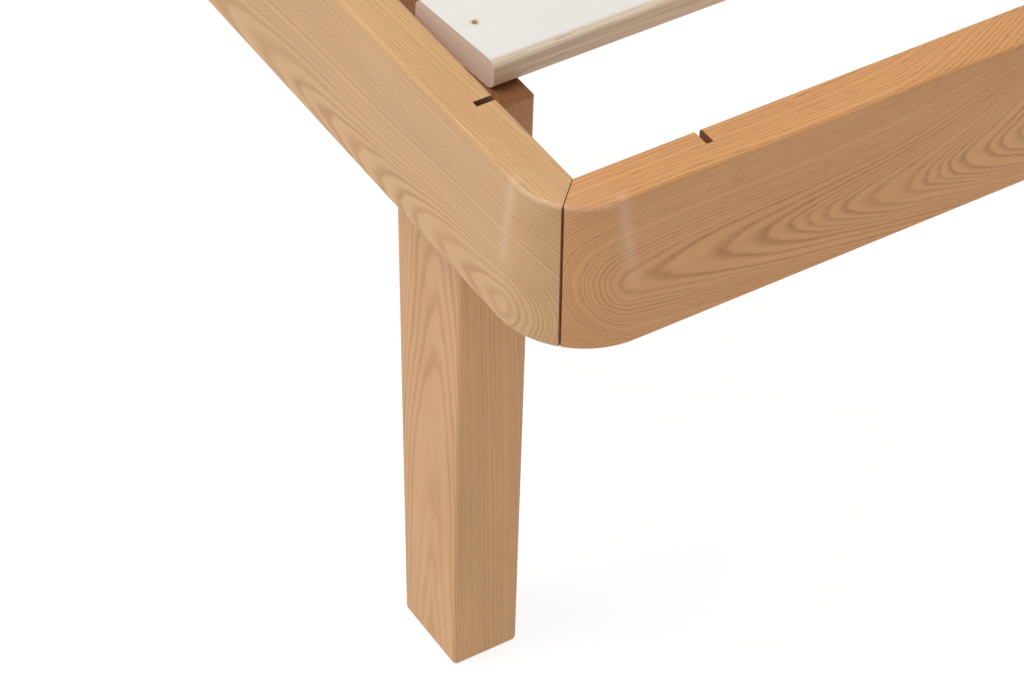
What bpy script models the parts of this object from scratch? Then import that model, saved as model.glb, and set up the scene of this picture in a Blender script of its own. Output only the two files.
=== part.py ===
"""Wooden bed frame: mitred rails with rounded corners, inset tapered legs and a slatted platform.

Metres, +Z up. The origin is on the floor under the middle of the frame. X runs across the bed, Y runs
along it, and the foot of the bed is at -Y. Sizes marked "inward" are measured from a rail's outer face.
"""

import math

import bmesh
import bpy
from mathutils import Vector

# Overall size and the rails
WIDTH = 1.440
LENGTH = 2.040
PLATFORM_TOP = 0.420
RAIL_THICKNESS = 0.028
RAIL_HEIGHT = 0.098
CORNER_RADIUS_TOP = 0.038
CORNER_RADIUS_BOTTOM = 0.051
CORNER_STEPS = 8
RAIL_EASE = 0.0025

# Gaps between neighbouring pieces
GAP = 0.0003
MITRE_GAP = 0.0004
SLAT_END_GAP = 0.0078

# Saw kerfs across the rails' inner faces, which the corner brackets hook into
KERF_WIDTH = 0.0042
KERF_DEPTH = 0.0123
KERF_INWARD = 0.1007

# Legs, set in from both outer faces
LEG_OUTER_INWARD = 0.015
LEG_END_INWARD = 0.110
LEG_WIDTH_TOP = 0.0436
LEG_WIDTH_FLOOR = 0.0423
LEG_LENGTH_TOP = 0.0704
LEG_LENGTH_FLOOR = 0.0556
LEG_EDGE_RADIUS = 0.003

# Slats: a skewed end cut leaves each slat a parallelogram seen from above
SLAT_COUNT = 14
SLAT_WIDTH = 0.068
SLAT_THICKNESS = 0.0185
SLAT_EDGE_RADIUS = 0.006
SLAT_EDGE_STEPS = 3
SLAT_SKEW = math.radians(5.0)
SLAT_END_INWARD = 0.158
SLAT_HOLE_INWARD = 0.0511
SLAT_HOLE_RADIUS = 0.00175

# Ledgers along the side rails, between the legs
LEDGER_WIDTH = 0.026
LEDGER_HEIGHT = 0.034
LEDGER_EASE = 0.0012
LEDGER_END_GAP = 0.0005

# Centre beam, its hangers and its legs
BEAM_WIDTH = 0.034
BEAM_HEIGHT = 0.060
BEAM_EASE = 0.002
BEAM_END_GAP = 0.0005
HANGER_SHEET = 0.0025
HANGER_REACH = 0.032
HANGER_EAR = 0.018
HANGER_DROP = 0.014
HANGER_LIP = 0.001
CENTRE_LEG_WIDTH = 0.044
CENTRE_LEG_EASE = 0.003
CENTRE_LEG_SPACING = 0.700

# Levelling feet (levellers) under the centre legs
FOOT_PAD_RADIUS = 0.016
FOOT_PAD_HEIGHT = 0.006
FOOT_STEM_RADIUS = 0.004
FOOT_STEM_LENGTH = 0.036
FOOT_HOLE_CLEARANCE = 0.0004

# Corner brackets: sheet steel, hooked into the kerfs and screwed to both rails
BRACKET_SHEET = 0.003
BRACKET_HEIGHT = 0.050
BRACKET_BELOW_TOP = 0.040
BRACKET_WING = 0.034
BRACKET_HOOK = 0.0110

# Fasteners
ROUND_STEPS = 12
LEG_BOLT_RADIUS = 0.004
LEG_BOLT_HEAD_RADIUS = 0.0065
LEG_BOLT_HEAD_HEIGHT = 0.005
LEG_BOLT_BITE = 0.018
LEG_BOLT_DROPS = (0.030, 0.068)
SCREW_RADIUS = 0.003
SCREW_HEAD_RADIUS = 0.0058
SCREW_HEAD_HEIGHT = 0.0036
SCREW_BITE = 0.019
BEAM_BOLT_BITE = 0.032
BEAM_BOLT_SINK = 0.002
SOCKET_SHARE = 0.45
HOLE_CLEARANCE = 0.0003
HOLE_SPARE = 0.001
CUT_PAST = 0.004

# Levels and places that follow from the sizes above
RAIL_BOTTOM = PLATFORM_TOP - RAIL_HEIGHT
SUPPORT_TOP = PLATFORM_TOP - SLAT_THICKNESS - GAP
BEAM_BOTTOM = SUPPORT_TOP - BEAM_HEIGHT
INNER_WIDTH = WIDTH - 2 * RAIL_THICKNESS
INNER_LENGTH = LENGTH - 2 * RAIL_THICKNESS
SIDES = {"left": -1, "right": 1}
ENDS = {"foot": -1, "head": 1}

# Finishes: base colour, roughness, metallic
OILED_ASH = ((0.62, 0.38, 0.18), 0.45, 0.0)
PAINTED_PLY = ((0.80, 0.77, 0.72), 0.60, 0.0)
PLAIN_PINE = ((0.66, 0.47, 0.28), 0.60, 0.0)
ZINC_STEEL = ((0.62, 0.63, 0.64), 0.35, 1.0)
BLACK_STEEL = ((0.06, 0.06, 0.065), 0.40, 0.9)
BLACK_PLASTIC = ((0.03, 0.03, 0.03), 0.55, 0.0)


def clear_scene():
    """Empty the scene of objects, so a second run starts from nothing."""
    for thing in list(bpy.data.objects):
        bpy.data.objects.remove(thing)


def finish(name, look):
    """A Principled material with one colour, roughness and metallic value."""
    colour, roughness, metallic = look
    material = bpy.data.materials.new(name)
    material.use_nodes = True
    shader = material.node_tree.nodes["Principled BSDF"]
    shader.inputs["Base Color"].default_value = (*colour, 1.0)
    shader.inputs["Roughness"].default_value = roughness
    shader.inputs["Metallic"].default_value = metallic
    return material


def loft(bm, rings):
    """Skin a closed solid through rings of equally many points, and return its vertices by ring."""
    layers = [[bm.verts.new(point) for point in ring] for ring in rings]
    count = len(rings[0])
    for near, far in zip(layers, layers[1:]):
        for i in range(count):
            j = (i + 1) % count
            bm.faces.new((near[i], near[j], far[j], far[i]))
    bm.faces.new(layers[0])
    bm.faces.new(layers[-1])
    return layers


def box(bm, low, high):
    """A block between two opposite corners."""
    (x0, y0, z0), (x1, y1, z1) = low, high
    rings = [[(x0, y0, z), (x1, y0, z), (x1, y1, z), (x0, y1, z)] for z in (z0, z1)]
    return loft(bm, rings)


def along(axis, place, a, b, distance):
    """The point at cross-section place (a, b) and a distance along one of the three axes."""
    offset = {"X": (distance, a, b), "Y": (a, distance, b), "Z": (a, b, distance)}[axis]
    return Vector(place) + Vector(offset)


def turned(bm, axis, place, profile):
    """A round solid: each (radius, distance) of the profile is one ring about the axis."""
    angles = [2 * math.pi * i / ROUND_STEPS for i in range(ROUND_STEPS)]
    rings = []
    for radius, distance in profile:
        spokes = [(radius * math.cos(a), radius * math.sin(a)) for a in angles]
        rings.append([along(axis, place, a, b, distance) for a, b in spokes])
    return loft(bm, rings)


def round_edges(bm, edges, radius, segments):
    """Round the given edges over."""
    bmesh.ops.bevel(bm, geom=list(edges), offset=radius, segments=segments, profile=0.5, affect="EDGES")


def ring_edges(bm, ring, picks):
    """The edges that leave the picked points of a ring towards its next point."""
    count = len(ring)
    return [bm.edges.get((ring[i], ring[(i + 1) % count])) for i in picks]


def add_object(name, bm, look, place=(0, 0, 0)):
    """Turn a mesh drawn in world space into a named object with its origin at place."""
    bmesh.ops.recalc_face_normals(bm, faces=bm.faces)
    bmesh.ops.translate(bm, verts=bm.verts, vec=-Vector(place))
    mesh = bpy.data.meshes.new(name)
    bm.to_mesh(mesh)
    bm.free()
    thing = bpy.data.objects.new(name, mesh)
    thing.location = place
    bpy.context.scene.collection.objects.link(thing)
    if look:
        mesh.materials.append(finish(name + "_finish", look))
    return thing


def shade_round(thing):
    """Shade a round piece smooth, with its real corners kept sharp."""
    thing.data.shade_smooth()
    thing.data.set_sharp_from_angle(angle=math.radians(35))


def cut(thing, bm):
    """Take the solids in a mesh away from an object."""
    cutter = add_object(thing.name + "_cutter", bm, None)
    cutter.hide_render = True
    cutter.display_type = "WIRE"
    away = thing.modifiers.new("cut", "BOOLEAN")
    away.operation = "DIFFERENCE"
    away.solver = "EXACT"
    away.object = cutter


def corner_arc(span, radius):
    """Half of a rail's rounded corner, from the mitre to the straight outer face, in the rail's own frame."""
    mitre = math.radians(225) + math.asin(MITRE_GAP / (radius * math.sqrt(2)))
    straight = math.radians(270)
    points = []
    for i in range(CORNER_STEPS + 1):
        angle = mitre + (straight - mitre) * i / CORNER_STEPS
        points.append((radius - span / 2 + radius * math.cos(angle), radius + radius * math.sin(angle)))
    return points


def rail_outline(span, radius):
    """A rail seen from above: outer face on y = 0, mitred ends, inner face at its thickness."""
    left = corner_arc(span, radius)
    right = [(-x, y) for x, y in reversed(left)]
    inner = span / 2 - RAIL_THICKNESS - MITRE_GAP
    return left + right + [(inner, RAIL_THICKNESS), (-inner, RAIL_THICKNESS)]


def turn_to_side(x, y, side):
    """Place a rail-frame point on one of the four sides of the frame, by the side's outward direction."""
    out_x, out_y = side
    reach = (WIDTH if out_x else LENGTH) / 2 - y
    return (out_x * reach - out_y * x, out_y * reach + out_x * x)


def rail_point(side, x, y, z):
    """A rail-frame point in world space."""
    return (*turn_to_side(x, y, side), z)


def rail_box(bm, side, low, high):
    """A block given in a rail's frame."""
    corners = [(low[0], low[1]), (high[0], low[1]), (high[0], high[1]), (low[0], high[1])]
    loft(bm, [[rail_point(side, x, y, z) for x, y in corners] for z in (low[2], high[2])])


def rail_hole(bm, side, x, z, radius, depth):
    """A blind round hole in a rail's inner face."""
    axis = "X" if side[0] else "Y"
    inward = -(side[0] + side[1])
    start = rail_point(side, x, RAIL_THICKNESS, z)
    turned(bm, axis, start, [(radius, inward * CUT_PAST), (radius, -inward * depth)])


def make_rail(name, side, span, holes):
    """One mitred rail with a kerf near each end and blind holes (x, z, radius, depth) for its fasteners."""
    bm = bmesh.new()
    outlines = ((CORNER_RADIUS_BOTTOM, RAIL_BOTTOM), (CORNER_RADIUS_TOP, PLATFORM_TOP))
    rings = [[rail_point(side, x, y, z) for x, y in rail_outline(span, radius)] for radius, z in outlines]
    layers = loft(bm, rings)
    outer_run = range(2 * CORNER_STEPS + 1)
    inner_run = [2 * CORNER_STEPS + 2]
    edges = [edge for ring in layers for edge in ring_edges(bm, ring, [*outer_run, *inner_run])]
    round_edges(bm, edges, RAIL_EASE, 2)
    rail = add_object(name, bm, OILED_ASH, rail_point(side, 0, RAIL_THICKNESS / 2, RAIL_BOTTOM))
    shade_round(rail)
    cuts = bmesh.new()
    for end in (-1, 1):
        kerf = end * (span / 2 - KERF_INWARD)
        low = (kerf - KERF_WIDTH / 2, RAIL_THICKNESS - KERF_DEPTH, RAIL_BOTTOM - CUT_PAST)
        high = (kerf + KERF_WIDTH / 2, RAIL_THICKNESS + CUT_PAST, PLATFORM_TOP + CUT_PAST)
        rail_box(cuts, side, low, high)
    for x, z, radius, depth in holes:
        rail_hole(cuts, side, x, z, radius, depth)
    cut(rail, cuts)


def bracket_screw_along():
    """How far inward from the neighbouring rail's outer face a bracket's screw sits."""
    return KERF_INWARD - BRACKET_WING / 2


def bracket_level():
    """Height of a corner bracket's middle."""
    return PLATFORM_TOP - BRACKET_BELOW_TOP - BRACKET_HEIGHT / 2


def leg_share(z):
    """How far up the leg a height is, from 0 at the floor to 1 at the leg's top."""
    return z / SUPPORT_TOP


def leg_inner_inward(z):
    """Distance from the side rail's outer face to the leg's inner face at a height."""
    width = LEG_WIDTH_FLOOR + (LEG_WIDTH_TOP - LEG_WIDTH_FLOOR) * leg_share(z)
    return LEG_OUTER_INWARD + width


def leg_middle_inward():
    """Distance from the end rail's outer face to the line of the leg's bolts."""
    return LEG_END_INWARD + LEG_LENGTH_TOP / 2


def hanger_screw_offset():
    """Distance from the bed's centre line to a beam hanger's screw."""
    return BEAM_WIDTH / 2 + GAP + HANGER_SHEET + HANGER_EAR / 2


def hanger_screw_level():
    """Height of the beam hangers' screws."""
    return BEAM_BOTTOM + BEAM_HEIGHT / 2


def blind_depth(bite):
    """Depth of the hole that takes a fastener's bite."""
    return bite + HOLE_SPARE


def bracket_holes(span):
    """The bracket screws' holes in a rail of the given outer span."""
    x = span / 2 - bracket_screw_along()
    radius = SCREW_RADIUS + HOLE_CLEARANCE
    return [(end * x, bracket_level(), radius, blind_depth(SCREW_BITE)) for end in (-1, 1)]


def make_rails():
    """The four rails."""
    leg_x = LENGTH / 2 - leg_middle_inward()
    leg_radius = LEG_BOLT_RADIUS + HOLE_CLEARANCE
    leg_holes = []
    for drop in LEG_BOLT_DROPS:
        for end in (-1, 1):
            leg_holes.append((end * leg_x, PLATFORM_TOP - drop, leg_radius, blind_depth(LEG_BOLT_BITE)))
    for name, sign in SIDES.items():
        make_rail("side_rail_" + name, (sign, 0), LENGTH, bracket_holes(LENGTH) + leg_holes)
    hanger_holes = []
    for way in (-1, 1):
        x = way * hanger_screw_offset()
        hanger_holes.append((x, hanger_screw_level(), SCREW_RADIUS + HOLE_CLEARANCE, blind_depth(SCREW_BITE)))
    for name, sign in ENDS.items():
        make_rail(name + "_rail", (0, sign), WIDTH, bracket_holes(WIDTH) + hanger_holes)


def corner_point(sides, inward_x, inward_y, z):
    """A point given by its distances inward from the two outer faces of one corner."""
    sign_x, sign_y = sides
    return (sign_x * (WIDTH / 2 - inward_x), sign_y * (LENGTH / 2 - inward_y), z)


def make_leg(name, sides):
    """A leg that tapers on its two inner faces, with a shoulder that carries the side rail."""
    bm = bmesh.new()
    sizes = ((0, LEG_WIDTH_FLOOR, LEG_LENGTH_FLOOR), (SUPPORT_TOP, LEG_WIDTH_TOP, LEG_LENGTH_TOP))
    rings = []
    for z, width, length in sizes:
        xs = (LEG_OUTER_INWARD, LEG_OUTER_INWARD + width)
        ys = (LEG_END_INWARD, LEG_END_INWARD + length)
        plan = ((xs[0], ys[0]), (xs[1], ys[0]), (xs[1], ys[1]), (xs[0], ys[1]))
        rings.append([corner_point(sides, x, y, z) for x, y in plan])
    layers = loft(bm, rings)
    uprights = [bm.edges.get((low, high)) for low, high in zip(*layers)]
    round_edges(bm, uprights + ring_edges(bm, layers[0], range(4)), LEG_EDGE_RADIUS, 3)
    middle_x = LEG_OUTER_INWARD + LEG_WIDTH_FLOOR / 2
    leg = add_object(name, bm, OILED_ASH, corner_point(sides, middle_x, leg_middle_inward(), 0))
    shade_round(leg)
    cuts = bmesh.new()
    near = corner_point(sides, LEG_OUTER_INWARD - CUT_PAST, LEG_END_INWARD - CUT_PAST, RAIL_BOTTOM - GAP)
    far_y = LEG_END_INWARD + LEG_LENGTH_TOP + CUT_PAST
    far = corner_point(sides, RAIL_THICKNESS + GAP, far_y, SUPPORT_TOP + CUT_PAST)
    box(cuts, near, far)
    for drop in LEG_BOLT_DROPS:
        z = PLATFORM_TOP - drop
        start = corner_point(sides, RAIL_THICKNESS, leg_middle_inward(), z)
        through = -sides[0] * (leg_inner_inward(z) - RAIL_THICKNESS + CUT_PAST)
        radius = LEG_BOLT_RADIUS + HOLE_CLEARANCE
        turned(cuts, "X", start, [(radius, sides[0] * CUT_PAST), (radius, through)])
    cut(leg, cuts)


def make_fastener(name, axis, place, into, grip, bite, sizes, look):
    """A headed fastener: place is under its head, into is the sign of the axis that it is driven along."""
    radius, head_radius, head_height = sizes
    socket = head_radius * SOCKET_SHARE
    tip = grip + bite
    profile = (
        (socket, -head_height / 2),
        (socket, -head_height),
        (head_radius * 0.86, -head_height),
        (head_radius, -head_height * 0.6),
        (head_radius, 0),
        (radius, 0),
        (radius, tip - radius / 2),
        (radius / 2, tip),
    )
    bm = bmesh.new()
    turned(bm, axis, place, [(ring, into * distance) for ring, distance in profile])
    shade_round(add_object(name, bm, look, place))


def make_leg_bolts(name, sides):
    """The bolts that hold one leg to its side rail."""
    sizes = (LEG_BOLT_RADIUS, LEG_BOLT_HEAD_RADIUS, LEG_BOLT_HEAD_HEIGHT)
    for position, drop in zip(("upper", "lower"), LEG_BOLT_DROPS):
        z = PLATFORM_TOP - drop
        inward = leg_inner_inward(z) + GAP
        place = corner_point(sides, inward, leg_middle_inward(), z)
        grip = inward - RAIL_THICKNESS
        bolt = f"leg_bolt_{name}_{position}"
        make_fastener(bolt, "X", place, sides[0], grip, LEG_BOLT_BITE, sizes, BLACK_STEEL)


def offset_path(path, distance):
    """Shift a plan path sideways, keeping its bends' straight runs parallel."""
    normals = []
    for start, end in zip(path, path[1:]):
        run = (Vector(end) - Vector(start)).normalized()
        normals.append(Vector((-run.y, run.x)))
    shifted = []
    for i, point in enumerate(path):
        before = normals[max(i - 1, 0)]
        after = normals[min(i, len(normals) - 1)]
        middle = (before + after).normalized()
        shifted.append(Vector(point) + middle * (distance / middle.dot(after)))
    return shifted


def make_corner_bracket(name, sides):
    """A bent steel strip: a hook in each kerf, a wing on each rail and a run across the corner."""
    face = RAIL_THICKNESS + GAP + BRACKET_SHEET / 2
    hook = RAIL_THICKNESS - BRACKET_HOOK
    wing_end = KERF_INWARD - BRACKET_WING
    half = [(hook, KERF_INWARD), (face, KERF_INWARD), (face, wing_end)]
    path = half + [(y, x) for x, y in reversed(half)]
    outline = offset_path(path, BRACKET_SHEET / 2) + offset_path(path, -BRACKET_SHEET / 2)[::-1]
    top = PLATFORM_TOP - BRACKET_BELOW_TOP
    bm = bmesh.new()
    loft(bm, [[corner_point(sides, x, y, z) for x, y in outline] for z in (top - BRACKET_HEIGHT, top)])
    bracket = add_object(name, bm, ZINC_STEEL, corner_point(sides, face, face, bracket_level()))
    cuts = bmesh.new()
    radius = SCREW_RADIUS + HOLE_CLEARANCE
    for axis, sign in (("X", sides[0]), ("Y", sides[1])):
        start = bracket_screw_place(sides, axis, RAIL_THICKNESS)
        turned(cuts, axis, start, [(radius, sign * CUT_PAST), (radius, -sign * (BRACKET_SHEET + CUT_PAST))])
    cut(bracket, cuts)


def bracket_screw_place(sides, axis, inward):
    """Where a bracket's screw crosses a plane that is inward from its rail's outer face."""
    beside = bracket_screw_along()
    inwards = (inward, beside) if axis == "X" else (beside, inward)
    return corner_point(sides, *inwards, bracket_level())


def make_bracket_screws(name, sides):
    """The two screws of one corner bracket, one in each rail."""
    sizes = (SCREW_RADIUS, SCREW_HEAD_RADIUS, SCREW_HEAD_HEIGHT)
    inward = RAIL_THICKNESS + GAP + BRACKET_SHEET + GAP
    for axis, label, sign in (("X", "side", sides[0]), ("Y", "end", sides[1])):
        place = bracket_screw_place(sides, axis, inward)
        grip = inward - RAIL_THICKNESS
        make_fastener(f"bracket_screw_{name}_{label}", axis, place, sign, grip, SCREW_BITE, sizes, ZINC_STEEL)


def make_ledgers():
    """The battens on the side rails that carry the slats."""
    half = LENGTH / 2 - LEG_END_INWARD - LEG_LENGTH_TOP - LEDGER_END_GAP
    for name, sign in SIDES.items():
        outer = sign * (WIDTH / 2 - RAIL_THICKNESS - GAP)
        inner = outer - sign * LEDGER_WIDTH
        bm = bmesh.new()
        layers = box(bm, (outer, -half, SUPPORT_TOP - LEDGER_HEIGHT), (inner, half, SUPPORT_TOP))
        edges = [edge for ring in layers for edge in ring_edges(bm, ring, (1, 3))]
        round_edges(bm, edges, LEDGER_EASE, 1)
        add_object("ledger_" + name, bm, OILED_ASH, ((outer + inner) / 2, 0, SUPPORT_TOP))


def slat_profile(centre):
    """A slat's cross-section in Y and Z, with its long edges rounded over."""
    flat_y = SLAT_WIDTH / 2 - SLAT_EDGE_RADIUS
    flat_z = SLAT_THICKNESS / 2 - SLAT_EDGE_RADIUS
    points = []
    for quarter, (sign_y, sign_z) in enumerate(((1, 1), (-1, 1), (-1, -1), (1, -1))):
        for step in range(SLAT_EDGE_STEPS + 1):
            angle = math.pi / 2 * (quarter + step / SLAT_EDGE_STEPS)
            y = centre + sign_y * flat_y + SLAT_EDGE_RADIUS * math.cos(angle)
            z = sign_z * flat_z + SLAT_EDGE_RADIUS * math.sin(angle)
            points.append((y, PLATFORM_TOP - SLAT_THICKNESS / 2 + z))
    return points


def make_slats():
    """The slats, evenly spaced from the foot of the bed to its head."""
    lean = math.tan(SLAT_SKEW)
    reach = INNER_WIDTH / 2 - SLAT_END_GAP - lean * SLAT_WIDTH / 2
    first = SLAT_END_INWARD - LENGTH / 2
    pitch = -2 * first / (SLAT_COUNT - 1)
    hole_x = WIDTH / 2 - SLAT_HOLE_INWARD
    for i in range(SLAT_COUNT):
        centre = first + i * pitch
        profile = slat_profile(centre)
        bm = bmesh.new()
        loft(bm, [[(end * reach - lean * (y - centre), y, z) for y, z in profile] for end in (-1, 1)])
        slat = add_object(f"slat_{i + 1:02d}", bm, PAINTED_PLY, (0, centre, PLATFORM_TOP - SLAT_THICKNESS))
        shade_round(slat)
        cuts = bmesh.new()
        for end in (-1, 1):
            start = (end * hole_x, centre, PLATFORM_TOP)
            through = -(SLAT_THICKNESS + CUT_PAST)
            turned(cuts, "Z", start, [(SLAT_HOLE_RADIUS, CUT_PAST), (SLAT_HOLE_RADIUS, through)])
        cut(slat, cuts)


def centre_leg_places():
    """Names and positions along the bed of the two centre legs."""
    return {"foot": -CENTRE_LEG_SPACING / 2, "head": CENTRE_LEG_SPACING / 2}


def make_centre_beam():
    """The beam that carries the slats' middles, with sunk holes for its legs' bolts."""
    half_x = BEAM_WIDTH / 2
    half_y = INNER_LENGTH / 2 - GAP - HANGER_SHEET - BEAM_END_GAP
    bm = bmesh.new()
    layers = box(bm, (-half_x, -half_y, BEAM_BOTTOM), (half_x, half_y, SUPPORT_TOP))
    edges = [edge for ring in layers for edge in ring_edges(bm, ring, (1, 3))]
    round_edges(bm, edges, BEAM_EASE, 1)
    beam = add_object("centre_beam", bm, PLAIN_PINE, (0, 0, BEAM_BOTTOM))
    cuts = bmesh.new()
    for y in centre_leg_places().values():
        sunk = LEG_BOLT_HEAD_RADIUS + HOLE_SPARE
        shank = LEG_BOLT_RADIUS + HOLE_CLEARANCE
        floor = SUPPORT_TOP - beam_bolt_sink()
        sink = ((sunk, SUPPORT_TOP + CUT_PAST), (sunk, floor))
        steps = sink + ((shank, floor), (shank, BEAM_BOTTOM - CUT_PAST))
        turned(cuts, "Z", (0, y, 0), steps)
    cut(beam, cuts)


def beam_bolt_sink():
    """Depth of the sunk hole for a centre leg bolt's head."""
    return LEG_BOLT_HEAD_HEIGHT + BEAM_BOLT_SINK


def make_centre_legs():
    """The two legs under the centre beam, with their bolts and levelling feet."""
    half = CENTRE_LEG_WIDTH / 2
    low = FOOT_PAD_HEIGHT + GAP
    top = BEAM_BOTTOM - GAP
    for name, y in centre_leg_places().items():
        bm = bmesh.new()
        layers = box(bm, (-half, y - half, low), (half, y + half, top))
        uprights = [bm.edges.get((below, above)) for below, above in zip(*layers)]
        round_edges(bm, uprights, CENTRE_LEG_EASE, 2)
        leg = add_object("centre_leg_" + name, bm, OILED_ASH, (0, y, low))
        cuts = bmesh.new()
        stem = FOOT_STEM_RADIUS + FOOT_HOLE_CLEARANCE
        stem_top = FOOT_PAD_HEIGHT + blind_depth(FOOT_STEM_LENGTH)
        turned(cuts, "Z", (0, y, 0), [(stem, -CUT_PAST), (stem, stem_top)])
        bolt = LEG_BOLT_RADIUS + HOLE_CLEARANCE
        turned(cuts, "Z", (0, y, 0), [(bolt, top - blind_depth(BEAM_BOLT_BITE)), (bolt, top + CUT_PAST)])
        cut(leg, cuts)
        sizes = (LEG_BOLT_RADIUS, LEG_BOLT_HEAD_RADIUS, LEG_BOLT_HEAD_HEIGHT)
        seat = SUPPORT_TOP - beam_bolt_sink() + GAP
        place = (0, y, seat)
        bolt = "centre_leg_bolt_" + name
        make_fastener(bolt, "Z", place, -1, seat - top, BEAM_BOLT_BITE, sizes, BLACK_STEEL)
        make_leveller(name, y)


def make_leveller(name, y):
    """A round pad on a threaded stem. It travels down out of its leg."""
    bm = bmesh.new()
    profile = (
        (FOOT_PAD_RADIUS * 0.92, 0),
        (FOOT_PAD_RADIUS, FOOT_PAD_HEIGHT / 4),
        (FOOT_PAD_RADIUS, FOOT_PAD_HEIGHT * 3 / 4),
        (FOOT_PAD_RADIUS * 0.92, FOOT_PAD_HEIGHT),
        (FOOT_STEM_RADIUS, FOOT_PAD_HEIGHT),
        (FOOT_STEM_RADIUS, FOOT_PAD_HEIGHT + FOOT_STEM_LENGTH),
    )
    turned(bm, "Z", (0, y, 0), profile)
    shade_round(add_object("leveller_" + name, bm, BLACK_PLASTIC, (0, y, 0)))


def make_beam_hangers():
    """The steel stirrups that hold the beam's ends, and their screws."""
    inside = BEAM_WIDTH / 2 + GAP
    outside = inside + HANGER_SHEET
    ear = outside + HANGER_EAR
    bottom = BEAM_BOTTOM - GAP
    top = SUPPORT_TOP - HANGER_DROP
    for name, sign in ENDS.items():
        side = (0, sign)
        back = RAIL_THICKNESS + GAP
        front = back + HANGER_SHEET
        reach = front + HANGER_REACH
        plan = [(-ear, back), (ear, back), (ear, front), (outside, front), (outside, reach), (inside, reach)]
        plan += [(inside, front), (-inside, front), (-inside, reach), (-outside, reach), (-outside, front)]
        plan += [(-ear, front)]
        bm = bmesh.new()
        walls = (bottom - HANGER_SHEET - HANGER_LIP, top)
        loft(bm, [[rail_point(side, x, y, z) for x, y in plan] for z in walls])
        hanger = add_object("beam_hanger_" + name, bm, ZINC_STEEL, rail_point(side, 0, back, bottom))
        overlap = HANGER_SHEET / 2
        low = (-inside - overlap, front - overlap, bottom - HANGER_SHEET)
        high = (inside + overlap, reach - overlap, bottom)
        floor = bmesh.new()
        rail_box(floor, side, low, high)
        join(hanger, floor)
        cuts = bmesh.new()
        for way in (-1, 1):
            radius = SCREW_RADIUS + HOLE_CLEARANCE
            start = rail_point(side, way * hanger_screw_offset(), back, hanger_screw_level())
            steps = [(radius, sign * CUT_PAST), (radius, -sign * (HANGER_SHEET + CUT_PAST))]
            turned(cuts, "Y", start, steps)
        cut(hanger, cuts)
        make_hanger_screws(name, sign, front + GAP)


def join(thing, bm):
    """Make the solids in a mesh one with an object."""
    extra = add_object(thing.name + "_floor", bm, None)
    extra.hide_render = True
    extra.display_type = "WIRE"
    union = thing.modifiers.new("join", "BOOLEAN")
    union.operation = "UNION"
    union.solver = "EXACT"
    union.object = extra


def make_hanger_screws(name, sign, inward):
    """The two screws of one beam hanger."""
    sizes = (SCREW_RADIUS, SCREW_HEAD_RADIUS, SCREW_HEAD_HEIGHT)
    for label, way in SIDES.items():
        place = (way * hanger_screw_offset(), sign * (LENGTH / 2 - inward), hanger_screw_level())
        grip = inward - RAIL_THICKNESS
        make_fastener(f"hanger_screw_{name}_{label}", "Y", place, sign, grip, SCREW_BITE, sizes, ZINC_STEEL)


def main():
    """Build the whole frame."""
    clear_scene()
    make_rails()
    for end_name, end in ENDS.items():
        for side_name, side in SIDES.items():
            name = f"{end_name}_{side_name}"
            make_leg("leg_" + name, (side, end))
            make_leg_bolts(name, (side, end))
            make_corner_bracket("corner_bracket_" + name, (side, end))
            make_bracket_screws(name, (side, end))
    make_ledgers()
    make_slats()
    make_centre_beam()
    make_centre_legs()
    make_beam_hangers()


main()
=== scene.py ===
"""The looks of a slatted bed frame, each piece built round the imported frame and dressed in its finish.

X runs across the bed and Y along it, with the foot at -Y and the floor at Z = 0. Sizes are in metres,
except where a name or a socket says mm. "Inward" is measured from a rail's outer face.
"""

import logging
import math
from dataclasses import dataclass, fields
from enum import Enum
from typing import Callable, Sequence

import bmesh
import bpy
from mathutils import Matrix, Vector


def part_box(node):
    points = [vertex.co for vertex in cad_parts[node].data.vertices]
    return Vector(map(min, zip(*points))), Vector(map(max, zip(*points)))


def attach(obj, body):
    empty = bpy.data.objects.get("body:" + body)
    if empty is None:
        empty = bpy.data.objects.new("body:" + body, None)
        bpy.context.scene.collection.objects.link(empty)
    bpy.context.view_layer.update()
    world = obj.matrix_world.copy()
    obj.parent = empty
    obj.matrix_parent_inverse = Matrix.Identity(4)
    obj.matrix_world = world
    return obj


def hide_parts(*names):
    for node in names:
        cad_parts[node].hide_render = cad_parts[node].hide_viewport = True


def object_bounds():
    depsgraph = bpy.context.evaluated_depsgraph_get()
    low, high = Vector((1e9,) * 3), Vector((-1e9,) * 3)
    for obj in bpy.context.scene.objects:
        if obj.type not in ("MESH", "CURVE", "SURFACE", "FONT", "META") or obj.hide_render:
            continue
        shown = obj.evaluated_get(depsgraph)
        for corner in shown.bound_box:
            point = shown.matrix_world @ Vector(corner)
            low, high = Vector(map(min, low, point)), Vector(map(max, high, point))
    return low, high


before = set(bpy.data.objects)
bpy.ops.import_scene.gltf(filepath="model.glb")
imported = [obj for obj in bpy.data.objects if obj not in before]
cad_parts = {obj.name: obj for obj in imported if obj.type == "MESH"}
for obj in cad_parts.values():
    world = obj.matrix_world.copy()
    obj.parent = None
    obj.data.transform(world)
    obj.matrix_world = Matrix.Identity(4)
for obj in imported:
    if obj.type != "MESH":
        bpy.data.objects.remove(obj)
CAD_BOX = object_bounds()
BODY = "frame"
LOG = logging.getLogger("bed_frame")

Colour = tuple[float, float, float]
Point = tuple[float, float, float]
Socket = bpy.types.NodeSocket
Sockets = bpy.types.bpy_prop_collection
Value = float | int | str | Sequence[float] | Socket | bpy.types.Material
Place = Callable[[Vector], Vector]

MM = 1000.0
BOARD_SPACING = 10.0
CUT_PAST = 0.01


class Axis(Enum):
    """The direction that a piece's grain runs in."""

    ACROSS = 0
    ALONG = 1
    UP = 2


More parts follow.
